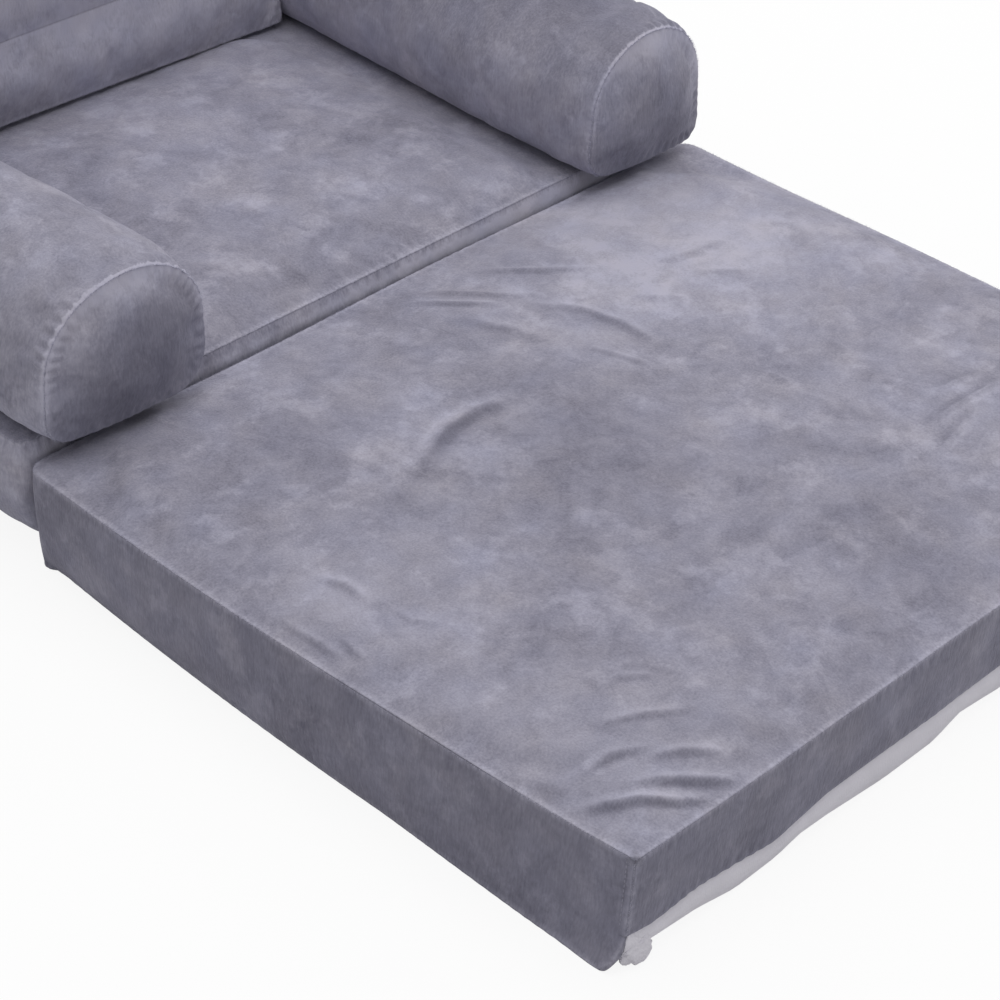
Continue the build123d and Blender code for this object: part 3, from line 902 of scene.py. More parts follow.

# %% [markdown]
# ## Nap and painted light
#
# The top panels are painted paler, as lit by the overhead light, and the upright bands darker, as
# painted shade; on the bands the pile is also brushed down. Hand-sized paler and darker places are
# marked one by one for the pad, each as a centre, a radius and how much paler or darker it lies:
# some are pile stroked the other way, and the pale ones at the right rear are a painted sheen from
# the light at the back right.

# %% Nap and painted light
# How pale the pile is painted on upright faces, as painted shade, and on level ones, as painted light.
UPRIGHT_SHADED_NAP = 0.30
LEVEL_LIT_NAP = 0.62
# Paler and darker places on the pad: pile stroked the other way, and at the right rear a painted sheen.
PAD_STROKES_AND_SHEEN = [
    ((0.200, -0.110), 0.095, 0.34),
    ((0.150, -0.020), 0.055, 0.20),
    ((0.100, -0.130), 0.060, 0.14),
    ((0.130, -0.330), 0.060, 0.12),
    ((-0.250, -0.400), 0.070, 0.12),
    ((-0.245, -0.240), 0.050, 0.10),
    ((-0.040, -0.225), 0.075, -0.16),
    ((-0.150, -0.100), 0.060, -0.08),
    ((-0.120, -0.330), 0.070, -0.05),
    ((0.020, -0.390), 0.060, -0.08),
]


def lay_nap_and_light(piece, extra=0.0, marked_places=(), level=LEVEL_LIT_NAP, upright=UPRIGHT_SHADED_NAP):
    """Stores how pale the pile is: painted light where a place faces up, painted shade where it faces
    sideways, and the places marked on it.
    """
    rows = places(piece)
    facing_up = np.clip(vertex_normals(piece)[:, 2], 0, 1) ** 1.5
    nap_and_light = upright + (level - upright) * facing_up + extra
    for middle, radius, amount in marked_places:
        distance = np.linalg.norm(rows[:, :2] - middle, axis=1)
        nap_and_light = nap_and_light + facing_up * amount * bell(distance, radius)
    carry(piece, "nap_and_light", nap_and_light)


lay_nap_and_light(pad_cover, pad_crease_light, PAD_STROKES_AND_SHEEN)
dress(pad_cover, grey_plush)

# %% [markdown]
# ## Lining of the pad
#
# A thin white panel closes the underside. It is longer than the pad at the foot, so it bulges
# out below the wavy edge of the band. It is too thin for the remesh, so it is built as a tray of
# outlines that follow the same edge, and then smoothed.


# %% Pad lining
def lining_tray(name, plan, tuck, low_edge, top_edge):
    """A thin closed tray under a cover. Its rim turns up at low_edge and ends behind top_edge."""
    middle = (low_edge + top_edge) / 2
    rings = [
        (0.004, 0.0, 0.4),
        (tuck + 0.026, 0.0),
        (tuck + 0.014, 0.4 * low_edge),
        (tuck + 0.0050, 0.9 * low_edge),
        (tuck + 0.0022, low_edge + 0.0004),
        (tuck + 0.0006, 0.7 * low_edge + 0.3 * middle + 0.0008),
        (tuck, middle + 0.0010),
        (tuck + 0.0010, 0.4 * middle + 0.6 * top_edge + 0.0012),
        (tuck + 0.0032, top_edge + 0.0016),
        (tuck + 0.0070, top_edge + 0.0018),
        (tuck + 0.0170, 0.0030),
        (0.004, 0.0030, 0.4),
    ]
    tray = shell(name, [level_ring(plan, *ring) for ring in rings])
    smooth_faces(tray)
    dress(tray, white_lining)
    return tray


LINING_TUCK = 0.010
LINING_BULGE = 0.0015
lining_tuck = np.where(on_foot > 0.5, -LINING_BULGE, tuck + LINING_TUCK)
pad_lining = lining_tray("pad_lining_panel", pad_plan, lining_tuck, lining_edge, on_foot * pad_edge)
print("lining:", len(pad_lining.data.polygons), "faces")

# %% [markdown]
# At the front left corner a fold of the lining has crept out between the two bands. It is a
# crumple the size of a fingertip: a ball pushed in and out by a few random waves.

# %% Crumpled corner of the lining
TUFT_PLACE = Vector((pad_left + 0.0105, pad_far + 0.0018, 0.0092))
TUFT_HALF_SIZE = Vector((0.0100, 0.0060, 0.0090))
shaper = bmesh.new()
bmesh.ops.create_icosphere(shaper, subdivisions=5, radius=1)
tuft_mesh = bpy.data.meshes.new("pad_lining_fold")
shaper.to_mesh(tuft_mesh)
shaper.free()
lining_fold = new_object("pad_lining_fold", tuft_mesh)
rows = places(lining_fold)
crumple = 1 + 0.16 * np.abs(waves(rows, 0.75, 3)) - 0.13 * np.abs(waves(rows, 0.33, 8))
put(lining_fold, rows * crumple[:, None] * TUFT_HALF_SIZE + TUFT_PLACE)
smooth_faces(lining_fold)
dress(lining_fold, white_lining)
print("fold of the lining:", len(lining_fold.data.polygons), "faces")

# %% [markdown]
# ## Seat block
#
# The same kind of block, 10 mm taller at its seam, under the arms and the back. Its top shows
# between the arms as a shallow well, and its front lip stands above the pad.

# %% Seat block
seat_low, seat_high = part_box("seat_side_band")
arm_low, arm_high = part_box("right_arm_cover")
SEAT_BOW = 0.004
SEAT_SEAM_HEIGHT = seat_high.z
SEAT_TOP = arm_low.z
REAR_RADIUS = 0.024
SEAT_CROWN = 0.0035
# A paler place on the seat's well.
SEAT_PALE_PLACE = [((0.110, 0.012), 0.050, 0.16)]
# Painted light on the front lip, stronger to the right under the arm: places across and how pale.
LIP_PAINTED_LIGHT = ((-0.25, 0.0, 0.12), (0.35, 0.85, 1.35))
# Painted light on the sides of the seat below the arms.
SEAT_SIDE_PAINTED_LIGHT = 0.34
back_low, back_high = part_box("back_side_band")

seat_plan = rounded_plan(
    corners(seat_low.x + SEAT_BOW, seat_low.y, seat_high.x - SEAT_BOW, seat_high.y),
    [CREASE_RADIUS, CREASE_RADIUS, REAR_RADIUS, REAR_RADIUS],
    [0, SEAT_BOW, 0, SEAT_BOW],
)
# The foam pushes the seat block's sides out round, and its crease face stays flat.
SIDE_ROUND = [(0.000, 0.030), (0.007, 0.017), (0.016, 0.0085), (0.027, 0.0033), (0.040, 0.0008)]
# Its front lip slopes back to the seam, so it shows above the pad as a soft strip.
LIP_SLOPE = 0.0045
SEAT_TUCK = 0.0020
seat_lip = LIP_SLOPE * (seat_plan[:, 1] < seat_low.y + 0.5 * CREASE_RADIUS)


def narrowed(plan, by):
    """The plan, made narrower by so much on both sides."""
    return plan * (1 - by / seat_high.x, 1)


seat_foot = narrowed(seat_plan, SIDE_ROUND[0][1])
seat_rings = [level_ring(seat_foot, 0.004, EDGE_HEIGHT, 0.55), level_ring(seat_foot, 0.020, EDGE_HEIGHT)]
for height, by in SIDE_ROUND:
    seat_rings.append(level_ring(narrowed(seat_plan, by), SEAT_TUCK, EDGE_HEIGHT + height))
seat_rings += [
    level_ring(seat_plan, *ring)
    for ring in (
        (COVER_ALLOWANCE, SEAT_SEAM_HEIGHT - 0.024),
        (COVER_ALLOWANCE + 0.15 * seat_lip, SEAT_SEAM_HEIGHT - 0.009),
        (SEAM_DRAW + seat_lip, SEAT_SEAM_HEIGHT),
        (0.010, SEAT_TOP - 0.0008),
        (0.010, SEAT_TOP - 0.0004, 0.5),
    )
]
seat_cover = shell("seat_plush_cover", seat_rings)
seat_top_seam, seat_foot_seam = seat_rings[-3], seat_rings[2]
seat_lines = [closed(seat_top_seam), closed(seat_foot_seam)]
well_half_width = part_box("left_arm_cover")[1].x * -1
well_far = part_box("back_front_panel")[0].y


def in_well(rows, margin):
    """1 on the seat between the arms and in front of the back, 0 under them."""
    across = ramp(well_half_width + 0.012 - np.abs(rows[:, 0]), margin)
    deep = ramp(well_far + 0.02 - rows[:, 1], margin)
    return across * deep


def seat_firm(rows):
    """Held by the floor, the crease, the zip at the rear, and the arms and back that stand on it."""
    floor_held = ramp(0.014 - rows[:, 2], 0.006)
    rear_held = ramp(rows[:, 1] - (seat_high.y - 0.004), 0.002)
    crease_held = ramp(seat_low.y + 0.005 - rows[:, 1], 0.003) * (rows[:, 2] < 0.06)
    covered = (rows[:, 2] > SEAT_SEAM_HEIGHT - 0.002) * (1 - in_well(rows, 0.02))
    return np.max((floor_held, rear_held, crease_held, covered), axis=0)


fill_cover(seat_cover, seat_lines, seat_firm, cap=0.009, slack=0.015)
rows = places(seat_cover)
on_top = ramp(rows[:, 2] - (SEAT_SEAM_HEIGHT - 0.002), 0.004) * in_well(rows, 0.03)
from_side = np.abs(rows[:, 0]) / well_half_width
from_middle = np.abs(rows[:, 1] - well_far / 2) / (well_far / 2)
crown = SEAT_CROWN * np.clip(1 - np.maximum(from_side, from_middle) ** 4, 0, 1)
rows[:, 2] += on_top * (crown + TOP_WAVE * waves(rows * (1, 1, 0), TOP_WAVE_SIZE, 11))
put(seat_cover, rows)
sew(seat_cover, seat_lines, seed=5)
rows = places(seat_cover)
on_lip = ramp(seat_low.y + 0.006 - rows[:, 1], 0.004) * ramp(rows[:, 2] - 0.066, 0.008)
on_side = (rows[:, 2] < SEAT_SEAM_HEIGHT - 0.002) * (np.abs(rows[:, 0]) > seat_high.x - 0.035)
# The well is painted a little darker, as painted shade between the arms and the back; the lip and the sides
# get painted light.
lip_light = np.interp(rows[:, 0], LIP_PAINTED_LIGHT[0], LIP_PAINTED_LIGHT[1]) * on_lip
lay_nap_and_light(seat_cover, -0.03 * in_well(rows, 0.03) + lip_light + SEAT_SIDE_PAINTED_LIGHT * on_side, SEAT_PALE_PLACE)
dress(seat_cover, grey_plush)
seat_lining = lining_tray("seat_lining_panel", seat_foot, LINING_TUCK, 0.0, 0.0)
print("seat cover:", len(seat_cover.data.polygons), "faces")

# %% [markdown]
# ## Arms
#
# Each arm is a bolster: a tube of plush over foam, flat where it stands on the seat, with a
# round top, and closed at both ends by a disc that swells like a drum skin. A true cylinder
# would look like a log. The real section has a flat foot, short upright sides and a round top,
# and it grows narrower towards the back.

# %% Arms
ARM_FOOT_RADIUS = 0.022
ROUND_DISC_FOOT = 0.031
SNUG_DISC_FOOT = 0.020
TIGHT_DISC_FOOT = 0.021
ARM_SIDE_TOP = 0.049
ARM_SWELL = 0.004
ARM_STEPS = 16
ARM_DROOP = 0.0035
ARM_DROOP_REACH = 0.022
ARM_OVERHANG = 0.0065
DISC_CROWN = 0.0075
DISC_DRAW = 0.0050
DISC_SHARES = (0.5, 0.85, 0.96)
# Painted shade on the discs, in the middle and at the foot, and painted light at the top, on the rim and
# along the seam higher up.
DISC_SHADE = 0.26
DISC_FOOT_SHADE = 0.12
DISC_TOP_PAINTED_LIGHT = 0.38
RIM_SEAM_HIGHLIGHT = 0.40
RIM_SEAM_HIGHLIGHT_REACH = 0.0018


def arm_section(inner, outer, foot, head, inset=0.0, share=1.0, turns=(ARM_FOOT_RADIUS, ARM_FOOT_RADIUS)):
    """The bolster's section from inner to outer and foot to head, anticlockwise, as x and z."""
    middle = np.array(((inner + outer) / 2, (foot + head) / 2))
    half = (outer - inner) / 2
    shoulder = foot + ARM_SIDE_TOP
    inner_turn, outer_turn = turns
    points = [(x, foot) for x in np.linspace(inner + inner_turn, outer - outer_turn, 13)]
    for step in range(1, 7):
        turn = -pi / 2 + pi / 2 * step / 6
        points.append((outer - outer_turn + outer_turn * cos(turn), foot + outer_turn * (1 + sin(turn))))
    for step in range(25):
        turn = pi * step / 24
        points.append((middle[0] + half * cos(turn), shoulder + (head - shoulder) * sin(turn)))
    for step in range(6):
        turn = pi + pi / 2 * step / 6
        points.append((inner + inner_turn + inner_turn * cos(turn), foot + inner_turn * (1 + sin(turn))))
    section = drawn_in(np.array(points), inset)
    return (section - middle) * share + middle


def upright_ring(section, y, hand=1):
    """A section of x and z placed at y, mirrored for the left hand."""
    return np.column_stack((section[:, 0] * hand, np.broadcast_to(y, len(section)), section[:, 1]))


def make_arm(side, hand, seed, lean_in, rear_away, disc_turns, rim_highlight, top_light, side_light, disc_light):
    """One bolster with its two discs, as a closed cover.

    lean_in swells its front over the seat, and rear_away keeps its rear off it. disc_turns are
    the radii of the front disc's inner and outer foot corners. The last four say how pale the pile
    is painted, as painted light and shade: a painted highlight on the disc's rim, then the arm's
    top and its sides, and the disc at its foot and at its top.
    """
    low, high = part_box(f"{side}_arm_cover")
    front_low, front_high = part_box(f"{side}_arm_front_panel")
    rear_low, rear_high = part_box(f"{side}_arm_rear_panel")
    front_inner, front_outer = sorted((abs(front_low.x), abs(front_high.x)))
    front_inner -= lean_in
    rear_inner, rear_outer = sorted((abs(rear_low.x), abs(rear_high.x)))
    rear_inner += rear_away
    front_y, rear_y = low.y, high.y
    head = front_high.z
    rings = []
    for share in DISC_SHARES:
        y = front_y - DISC_CROWN * (1 - share**2)
        section = arm_section(front_inner, front_outer, low.z, head, DISC_DRAW, share, disc_turns)
        rings.append(upright_ring(section, y, hand))
    for step in range(ARM_STEPS + 1):
        t = step / ARM_STEPS
        taper = ramp(t - 0.2, 0.5)
        swell = 0.7 * ARM_SWELL * sin(pi * t) ** 0.6 if 0 < step < ARM_STEPS else 0
        inner = front_inner + taper * (rear_inner - front_inner)
        outer = front_outer + taper * (rear_outer - front_outer)
        turns = [turn + ramp(t, 0.15) * (ARM_FOOT_RADIUS - turn) for turn in disc_turns]
        drawn = DISC_DRAW if step in (0, ARM_STEPS) else 0.0006
        section = arm_section(inner, outer + swell, low.z, head + swell, drawn, 1.0, turns)
        rings.append(upright_ring(section, front_y + t * (rear_y - front_y), hand))
        if step == 0:
            section = arm_section(inner, outer, low.z, head, 0.4 * DISC_DRAW, 1.0, turns)
            rings.append(upright_ring(section, front_y + 0.006, hand))
    for share in DISC_SHARES[::-1]:
        y = rear_y + DISC_CROWN * 0.6 * (1 - share**2)
        section = arm_section(rear_inner, rear_outer, low.z, head, DISC_DRAW, share)
        rings.append(upright_ring(section, y, hand))
    arm = shell(f"{side}_arm_plush_cover", rings)
    front_seam, rear_seam = rings[3], rings[4 + ARM_STEPS]
    lines = [closed(front_seam), closed(rear_seam)]

    def firm(rows):
        """The foot stands on the seat."""
        return ramp(low.z + 0.006 - rows[:, 2], 0.004)

    fill_cover(arm, lines, firm, voxel=0.005, cap=0.003, slack=0.02)
    sew(arm, lines, pucker=0.0008, pitch=0.008, seed=seed)
    rows = places(arm)
    on_disc = (rows[:, 1] < front_y + 0.002) | (rows[:, 1] > rear_y - 0.002)
    past_lip = ramp(ARM_DROOP_REACH - (rows[:, 1] - front_y), ARM_DROOP_REACH) ** 1.5
    low_share = ramp(head - rows[:, 2], head - low.z)
    across = (np.abs(rows[:, 0]) - (front_inner + front_outer) / 2) / ((front_outer - front_inner) / 2)
    past_lip *= 1 - 0.7 * np.clip(-hand * across, 0, 1) ** 1.5
    rows[:, 2] -= ARM_DROOP * past_lip * low_share
    rows[:, 1] -= ARM_OVERHANG * past_lip * np.clip(1.6 * low_share - 0.5, 0, 1)
    put(arm, rows)
    on_disc = on_disc & (np.abs(vertex_normals(arm)[:, 1]) > 0.25)
    # The discs are painted darker in the middle and at the foot and paler at the top and round the rim, as
    # painted light and shade.
    upwards = (rows[:, 2] - low.z - 0.045) / 0.055
    outwards = np.clip(across**2 + upwards**2, 0, 1)
    raised = ramp(rows[:, 2] - low.z - 0.02, 0.07)
    disc_light_and_shade = raised * (rim_highlight * outwards**4 + DISC_TOP_PAINTED_LIGHT * raised)
    disc_light_and_shade -= DISC_SHADE * (1 - outwards) + DISC_FOOT_SHADE * (1 - raised)
    gap, _, _ = seam_reach(rows, lines)
    seam_line_highlight = RIM_SEAM_HIGHLIGHT * raised * bell(gap, RIM_SEAM_HIGHLIGHT_REACH)
    disc_light_and_shade += np.interp(raised, (0, 1), disc_light) - side_light
    lay_nap_and_light(arm, np.where(on_disc, disc_light_and_shade, 0.0) + seam_line_highlight, (), top_light, side_light)
    # Higher up the seam's gap is pushed out, so the painted seam shade is dropped there and the painted
    # highlight comes up to the seam.
    carry(arm, "seam_gap", gap + SEAM_SHADE_REACH * raised)
    dress(arm, grey_plush)
    return arm, lines


left_turns, right_turns = (ROUND_DISC_FOOT, TIGHT_DISC_FOOT), (TIGHT_DISC_FOOT, SNUG_DISC_FOOT)
left_arm, left_rims = make_arm("left", -1, 21, 0.012, 0.0, left_turns, 0.75, 0.56, 0.56, (0.56, 0.56))
right_arm, right_rims = make_arm("right", 1, 33, 0.0, 0.003, right_turns, 0.45, 0.30, 0.86, (0.58, 0.88))
print("arms:", len(left_arm.data.polygons), "and", len(right_arm.data.polygons), "faces")

# %% [markdown]
# ## Back cushion
#
# An arched box cushion that stands between the arms and leans back a little. Its front panel is
# pieced: a seam runs level across it, a hand above the seat, and the cloth dips in there.

# %% Back cushion
BACK_LEAN = radians(6)
BACK_TOP_RADIUS = 0.092
BACK_FOOT_RADIUS = 0.007
BACK_CROWN = 0.009
BACK_TOP_PAINTED_LIGHT = 0.30
BACK_REACH = 0.009
BACK_FORWARD = 0.009
BACK_FORWARD_HEIGHT = 0.13
BACK_TURN_PLACE = -0.05
back_half_width = back_high.x
back_foot = back_low.z
back_tall = back_high.z - back_foot
back_seam_y = back_low.y
back_rear_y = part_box("back_rear_panel")[1].y
back_face = rounded_plan(
    corners(-back_half_width, 0, back_half_width, back_tall),
    [BACK_FOOT_RADIUS, BACK_FOOT_RADIUS, BACK_TOP_RADIUS, BACK_TOP_RADIUS],
    [0, 0, 0, 0],
    arc_steps=9,
)


def leaning_ring(inset, away, lean, share=1.0):
    """The arched outline, away from its seam, on a plane that leans back."""
    flat = drawn_in(back_face, inset, share)
    y = away + flat[:, 1] * sin(lean)
    return np.column_stack((flat[:, 0], y, back_foot + flat[:, 1] * cos(lean)))


# Each ring of the shell, from the front: how far it is drawn in, its depth, its lean and its scale.
back_rings = [
    leaning_ring(*ring)
    for ring in (
        (0.006, back_seam_y - BACK_CROWN, BACK_LEAN, 0.45),
        (0.006, back_seam_y - BACK_CROWN * 0.8, BACK_LEAN, 0.75),
        (0.006, back_seam_y - BACK_CROWN * 0.4, BACK_LEAN, 0.93),
        (0.005, back_seam_y, BACK_LEAN),
        (0.0015, back_seam_y + 0.006, BACK_LEAN),
        (0.0006, back_seam_y + 0.014, BACK_LEAN),
        (0.0006, back_rear_y - 0.012, 0),
        (0.002, back_rear_y - 0.004, 0),
        (0.005, back_rear_y - 0.0006, 0),
        (0.005, back_rear_y - 0.0006, 0, 0.5),
    )
]
back_cover = shell("back_plush_cover", back_rings)
pieced_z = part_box("back_lower_front_panel")[1].z + 0.0015
pieced_rise = pieced_z - back_foot
pieced_y = back_seam_y - BACK_CROWN * 0.9 + pieced_rise * sin(BACK_LEAN)
pieced_x = np.linspace(-back_half_width + 0.012, back_half_width - 0.012, 40)
pieced_seam = np.array([(x, pieced_y, pieced_z) for x in pieced_x])
back_lines = [closed(back_rings[3]), closed(back_rings[8]), pieced_seam]


def back_firm(rows):
    """The foot stands on the seat, the rear is flat for the zip, and the sides touch the arms."""
    foot_held = ramp(back_foot + 0.006 - rows[:, 2], 0.004)
    rear_held = ramp(rows[:, 1] - (back_rear_y - 0.004), 0.002)
    beside = ramp(np.abs(rows[:, 0]) - (back_half_width - 0.004), 0.002) * (rows[:, 2] < arm_high.z)
    return np.max((foot_held, rear_held, beside), axis=0)


fill_cover(back_cover, back_lines, back_firm, cap=0.008, slack=0.03)
sew(back_cover, back_lines, seed=17)


def set_back(rows):
    """The back leans against the right arm, where its foot has slid forwards."""
    rows = rows.copy()
    front = ramp(back_rear_y - rows[:, 1], back_rear_y - back_seam_y)
    rows[:, 0] += BACK_REACH * (rows[:, 0] / back_half_width + 1) / 2
    slid = front * ramp(rows[:, 0] - BACK_TURN_PLACE, back_half_width - BACK_TURN_PLACE)
    rows[:, 1] -= BACK_FORWARD * slid * np.clip(1 - (rows[:, 2] - back_foot) / BACK_FORWARD_HEIGHT, 0, 1)
    return rows


put(back_cover, set_back(places(back_cover)))
back_lines = [set_back(line) for line in back_lines]
# The back is painted paler towards its top, and its upright faces pale too, as painted light.
raised = ramp(places(back_cover)[:, 2] - back_foot, pieced_rise)
lay_nap_and_light(back_cover, BACK_TOP_PAINTED_LIGHT * raised, upright=0.74)
dress(back_cover, grey_plush)
print("back cover:", len(back_cover.data.polygons), "faces")

# %% [markdown]
# ## Stitches and pile tips
#
# Two things repeat along lines: the thread of the topstitching, and the tips of the pile that
# stand out where a seam bends the cloth sharply. Geometry Nodes grow both along guide lines. One
# stitch or tip has only a few faces, since there are thousands. Each grown piece is turned into
# plain mesh, and goes with one body.

# %% Growing things along lines
def grower(name, numbers):
    """A Geometry Nodes tree with guide lines and named numbers coming in, resampled to a pitch."""
    tree = bpy.data.node_groups.new(name, "GeometryNodeTree")
    tree.interface.new_socket("Guides", in_out="INPUT", socket_type="NodeSocketGeometry")
    for number in numbers:
        kind = "NodeSocketInt" if number == "Seed" else "NodeSocketFloat"
        tree.interface.new_socket(number, in_out="INPUT", socket_type=kind)
    tree.interface.new_socket("Grown", in_out="OUTPUT", socket_type="NodeSocketGeometry")
    start = tree.nodes.new("NodeGroupInput").outputs
    curves = add_node(tree, "GeometryNodeMeshToCurve", {"Mesh": start["Guides"]})
    return tree, start, add_node(
        tree, "GeometryNodeResampleCurve", {"Curve": curves, "Length": start["Pitch"]}, mode="LENGTH"
    )


def finish_grower(tree, curves, shape, rotation, scale, material):
    """Puts the shape on every point, makes it real mesh and gives it its material."""
    placed = add_node(
        tree,
        "GeometryNodeInstanceOnPoints",
        {"Points": curves, "Instance": shape, "Rotation": rotation, "Scale": scale},
    )
    real = add_node(tree, "GeometryNodeRealizeInstances", {"Geometry": placed})
    dressed = add_node(tree, "GeometryNodeSetMaterial", {"Geometry": real, "Material": material})
    add_node(tree, "NodeGroupOutput", {"Grown": dressed})
    return tree


GUIDE_SPACING = 0.003


def grow(name, tree, lines, numbers, skin=None):
    """Runs a tree along lines of 3-D points. skin is the cover whose normals the tips follow."""
    mesh = bpy.data.meshes.new(name)
    if skin:
        polygons = [face.vertices for face in skin.data.polygons]
        skin_tree = BVHTree.FromPolygons(places(skin).tolist(), polygons)
        lines = [seam_points([line], GUIDE_SPACING)[0] for line in lines]
    points = np.concatenate(lines)
    firsts = np.cumsum([0] + [len(line) for line in lines])
    edges = [(i, i + 1) for first, end in zip(firsts[:-1], firsts[1:]) for i in range(first, end - 1)]
    mesh.from_pydata(points.tolist(), edges, [])
    if skin:
        found = [skin_tree.find_nearest(point) for point in points]
        mesh.vertices.foreach_set("co", np.array([hit[0] for hit in found], np.float32).ravel())
        outwards = np.array([hit[1] for hit in found], np.float32)
        mesh.attributes.new("outwards", "FLOAT_VECTOR", "POINT").data.foreach_set("vector", outwards.ravel())
    piece = new_object(name, mesh)
    modifier = piece.modifiers.new(name, "NODES")
    modifier.node_group = tree
    for item in tree.interface.items_tree:
        if item.name in numbers:
            modifier[item.identifier] = numbers[item.name]
    settle(piece)
    return piece


# %% Stitches: the tree
thread = fine_finish("grey_polyester_thread", "#8E8C9C", 0.0004, 0.0001, 0.6)
tree, start, curves = grower("topstitch", ["Pitch", "Stitch Length", "Thread Width"])
bead = add_node(tree, "GeometryNodeMeshUVSphere", {"Segments": 6, "Rings": 4, "Radius": 0.5})
along = add_node(tree, "GeometryNodeInputTangent")
turned = add_node(tree, "FunctionNodeAlignRotationToVector", {"Vector": along}, axis="X")
size = add_node(
    tree,
    "ShaderNodeCombineXYZ",
    {0: start["Stitch Length"], 1: start["Thread Width"], 2: start["Thread Width"]},
)
topstitch = finish_grower(tree, curves, bead, turned, size, thread)

# %% Pile tips: the tree
pile_tips = fine_finish("plush_pile_tips", "#ABAABC", 0.0010, 0.0002, 1)
tree, start, curves = grower("pile_tips", ["Pitch", "Tip Length", "Tip Width", "Seed"])
tip = add_node(
    tree,
    "GeometryNodeMeshCone",
    {"Vertices": 3, "Radius Top": 0.0, "Radius Bottom": 0.5, "Depth": 1.0},
    fill_type="NGON",
)
outwards = add_node(tree, "GeometryNodeInputNamedAttribute", {"Name": "outwards"}, data_type="FLOAT_VECTOR")
scatter = add_node(
    tree,
    "FunctionNodeRandomValue",
    {0: (-0.9, -0.9, -0.9), 1: (0.9, 0.9, 0.9), "Seed": start["Seed"]},
    data_type="FLOAT_VECTOR",
)
aimed = add_node(tree, "ShaderNodeVectorMath", {0: outwards, 1: scatter}, operation="ADD")
turned = add_node(tree, "FunctionNodeAlignRotationToVector", {"Vector": aimed}, axis="Z")
uneven = add_node(
    tree, "FunctionNodeRandomValue", {2: 0.5, 3: 1.3, "Seed": start["Seed"]}, data_type="FLOAT"
)
length = add_node(
    tree, "ShaderNodeMath", {0: uneven.outputs[1], 1: start["Tip Length"]}, operation="MULTIPLY"
)
size = add_node(tree, "ShaderNodeCombineXYZ", {0: start["Tip Width"], 1: start["Tip Width"], 2: length})
pile_tips_tree = finish_grower(tree, curves, tip, turned, size, pile_tips)

# %% Pile tips along the seams
TIPS = {"Pitch": 0.0007, "Tip Length": 0.0012, "Tip Width": 0.00036}
RIM_TIPS = {"Pitch": 0.0004, "Tip Length": 0.0017, "Tip Width": 0.00052}
pad_tips, seat_tips, left_tips, right_tips, back_tips = [
    grow(f"{name}_pile_tips", pile_tips_tree, lines, numbers | {"Seed": seed}, skin)
    for seed, name, lines, numbers, skin in (
        (1, "pad", pad_lines[:1] + pad_lines[2:], TIPS, pad_cover),
        (2, "seat", seat_lines[:1], TIPS, seat_cover),
        (3, "left_arm", left_rims, RIM_TIPS, left_arm),
        (4, "right_arm", right_rims, RIM_TIPS, right_arm),
        (5, "back", back_lines[:2], TIPS, back_cover),
    )
]
print("pile tips on the pad:", len(pad_tips.data.polygons), "faces")

# %% [markdown]
# The zips are sewn in with a row of stitches down each side of the tape, and the front corners
# of the pad carry a short row beside the corner seam.

# %% Stitches along the zips and the corner seams
STITCHES = {"Pitch": 0.0032, "Stitch Length": 0.0025, "Thread Width": 0.0005}
STITCH_MARGIN = 0.0016


def zip_rows(name, outer_axis):
    """Two rows of points along a zip's tape, on its outer face, near both its long edges."""
    low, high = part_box(name)
    rows = []
    for height in (low.z + STITCH_MARGIN, high.z - STITCH_MARGIN):
        row = np.zeros((24, 3))
        row[:, 1 - outer_axis] = np.linspace(low[1 - outer_axis] + 0.002, high[1 - outer_axis] - 0.002, 24)
        row[:, outer_axis] = high[outer_axis]
        row[:, 2] = height
        rows.append(row)
    return rows


corner_rows = [
    np.array([(x, pad_far + 0.0060, z) for z in np.linspace(0.028, PAD_SEAM_HEIGHT - 0.003, 16)])
    for x in (pad_left + 0.0005, pad_right - 0.0005)
]
seat_stitches = grow("seat_zip_stitches", topstitch, zip_rows("seat_zip_tapes", 1), STITCHES)
back_stitches = grow("back_zip_stitches", topstitch, zip_rows("back_zip_tapes", 1), STITCHES)
pad_stitches = grow("pad_zip_stitches", topstitch, zip_rows("pad_zip_tapes", 0) + corner_rows, STITCHES)
print("stitches on the pad:", len(pad_stitches.data.polygons) // 24)

# %% [markdown]
# ## Foam blocks
#
# Inside each cover is a block of cut foam, square where the knife went. It is hidden as long as
# the cover is on, but it is a piece of the object, so each block is made from the outline of
# its cover, drawn in a little.

# %% Foam blocks
BLOCK_INSET = 0.010
BLOCK_CHAMFER = 0.003


def foam_block(name, slices):
    """A cut block from the outlines of its slices."""
    block = shell(name, slices)
    dress(block, foam)
    return block


def level_block(name, plan, top, tuck):
    """A block that lies level, its foot drawn in by the tuck of its cover."""
    low, high = 2 * BLOCK_CHAMFER, top - BLOCK_CHAMFER
    rings = (
        (tuck + BLOCK_INSET + BLOCK_CHAMFER, low),
        (0.6 * tuck + BLOCK_INSET, low + 2 * BLOCK_CHAMFER),
        (BLOCK_INSET, 0.5 * top),
        (BLOCK_INSET, high - BLOCK_CHAMFER),
        (BLOCK_INSET + BLOCK_CHAMFER, high),
    )
    return foam_block(name, [level_ring(plan, *ring) for ring in rings])


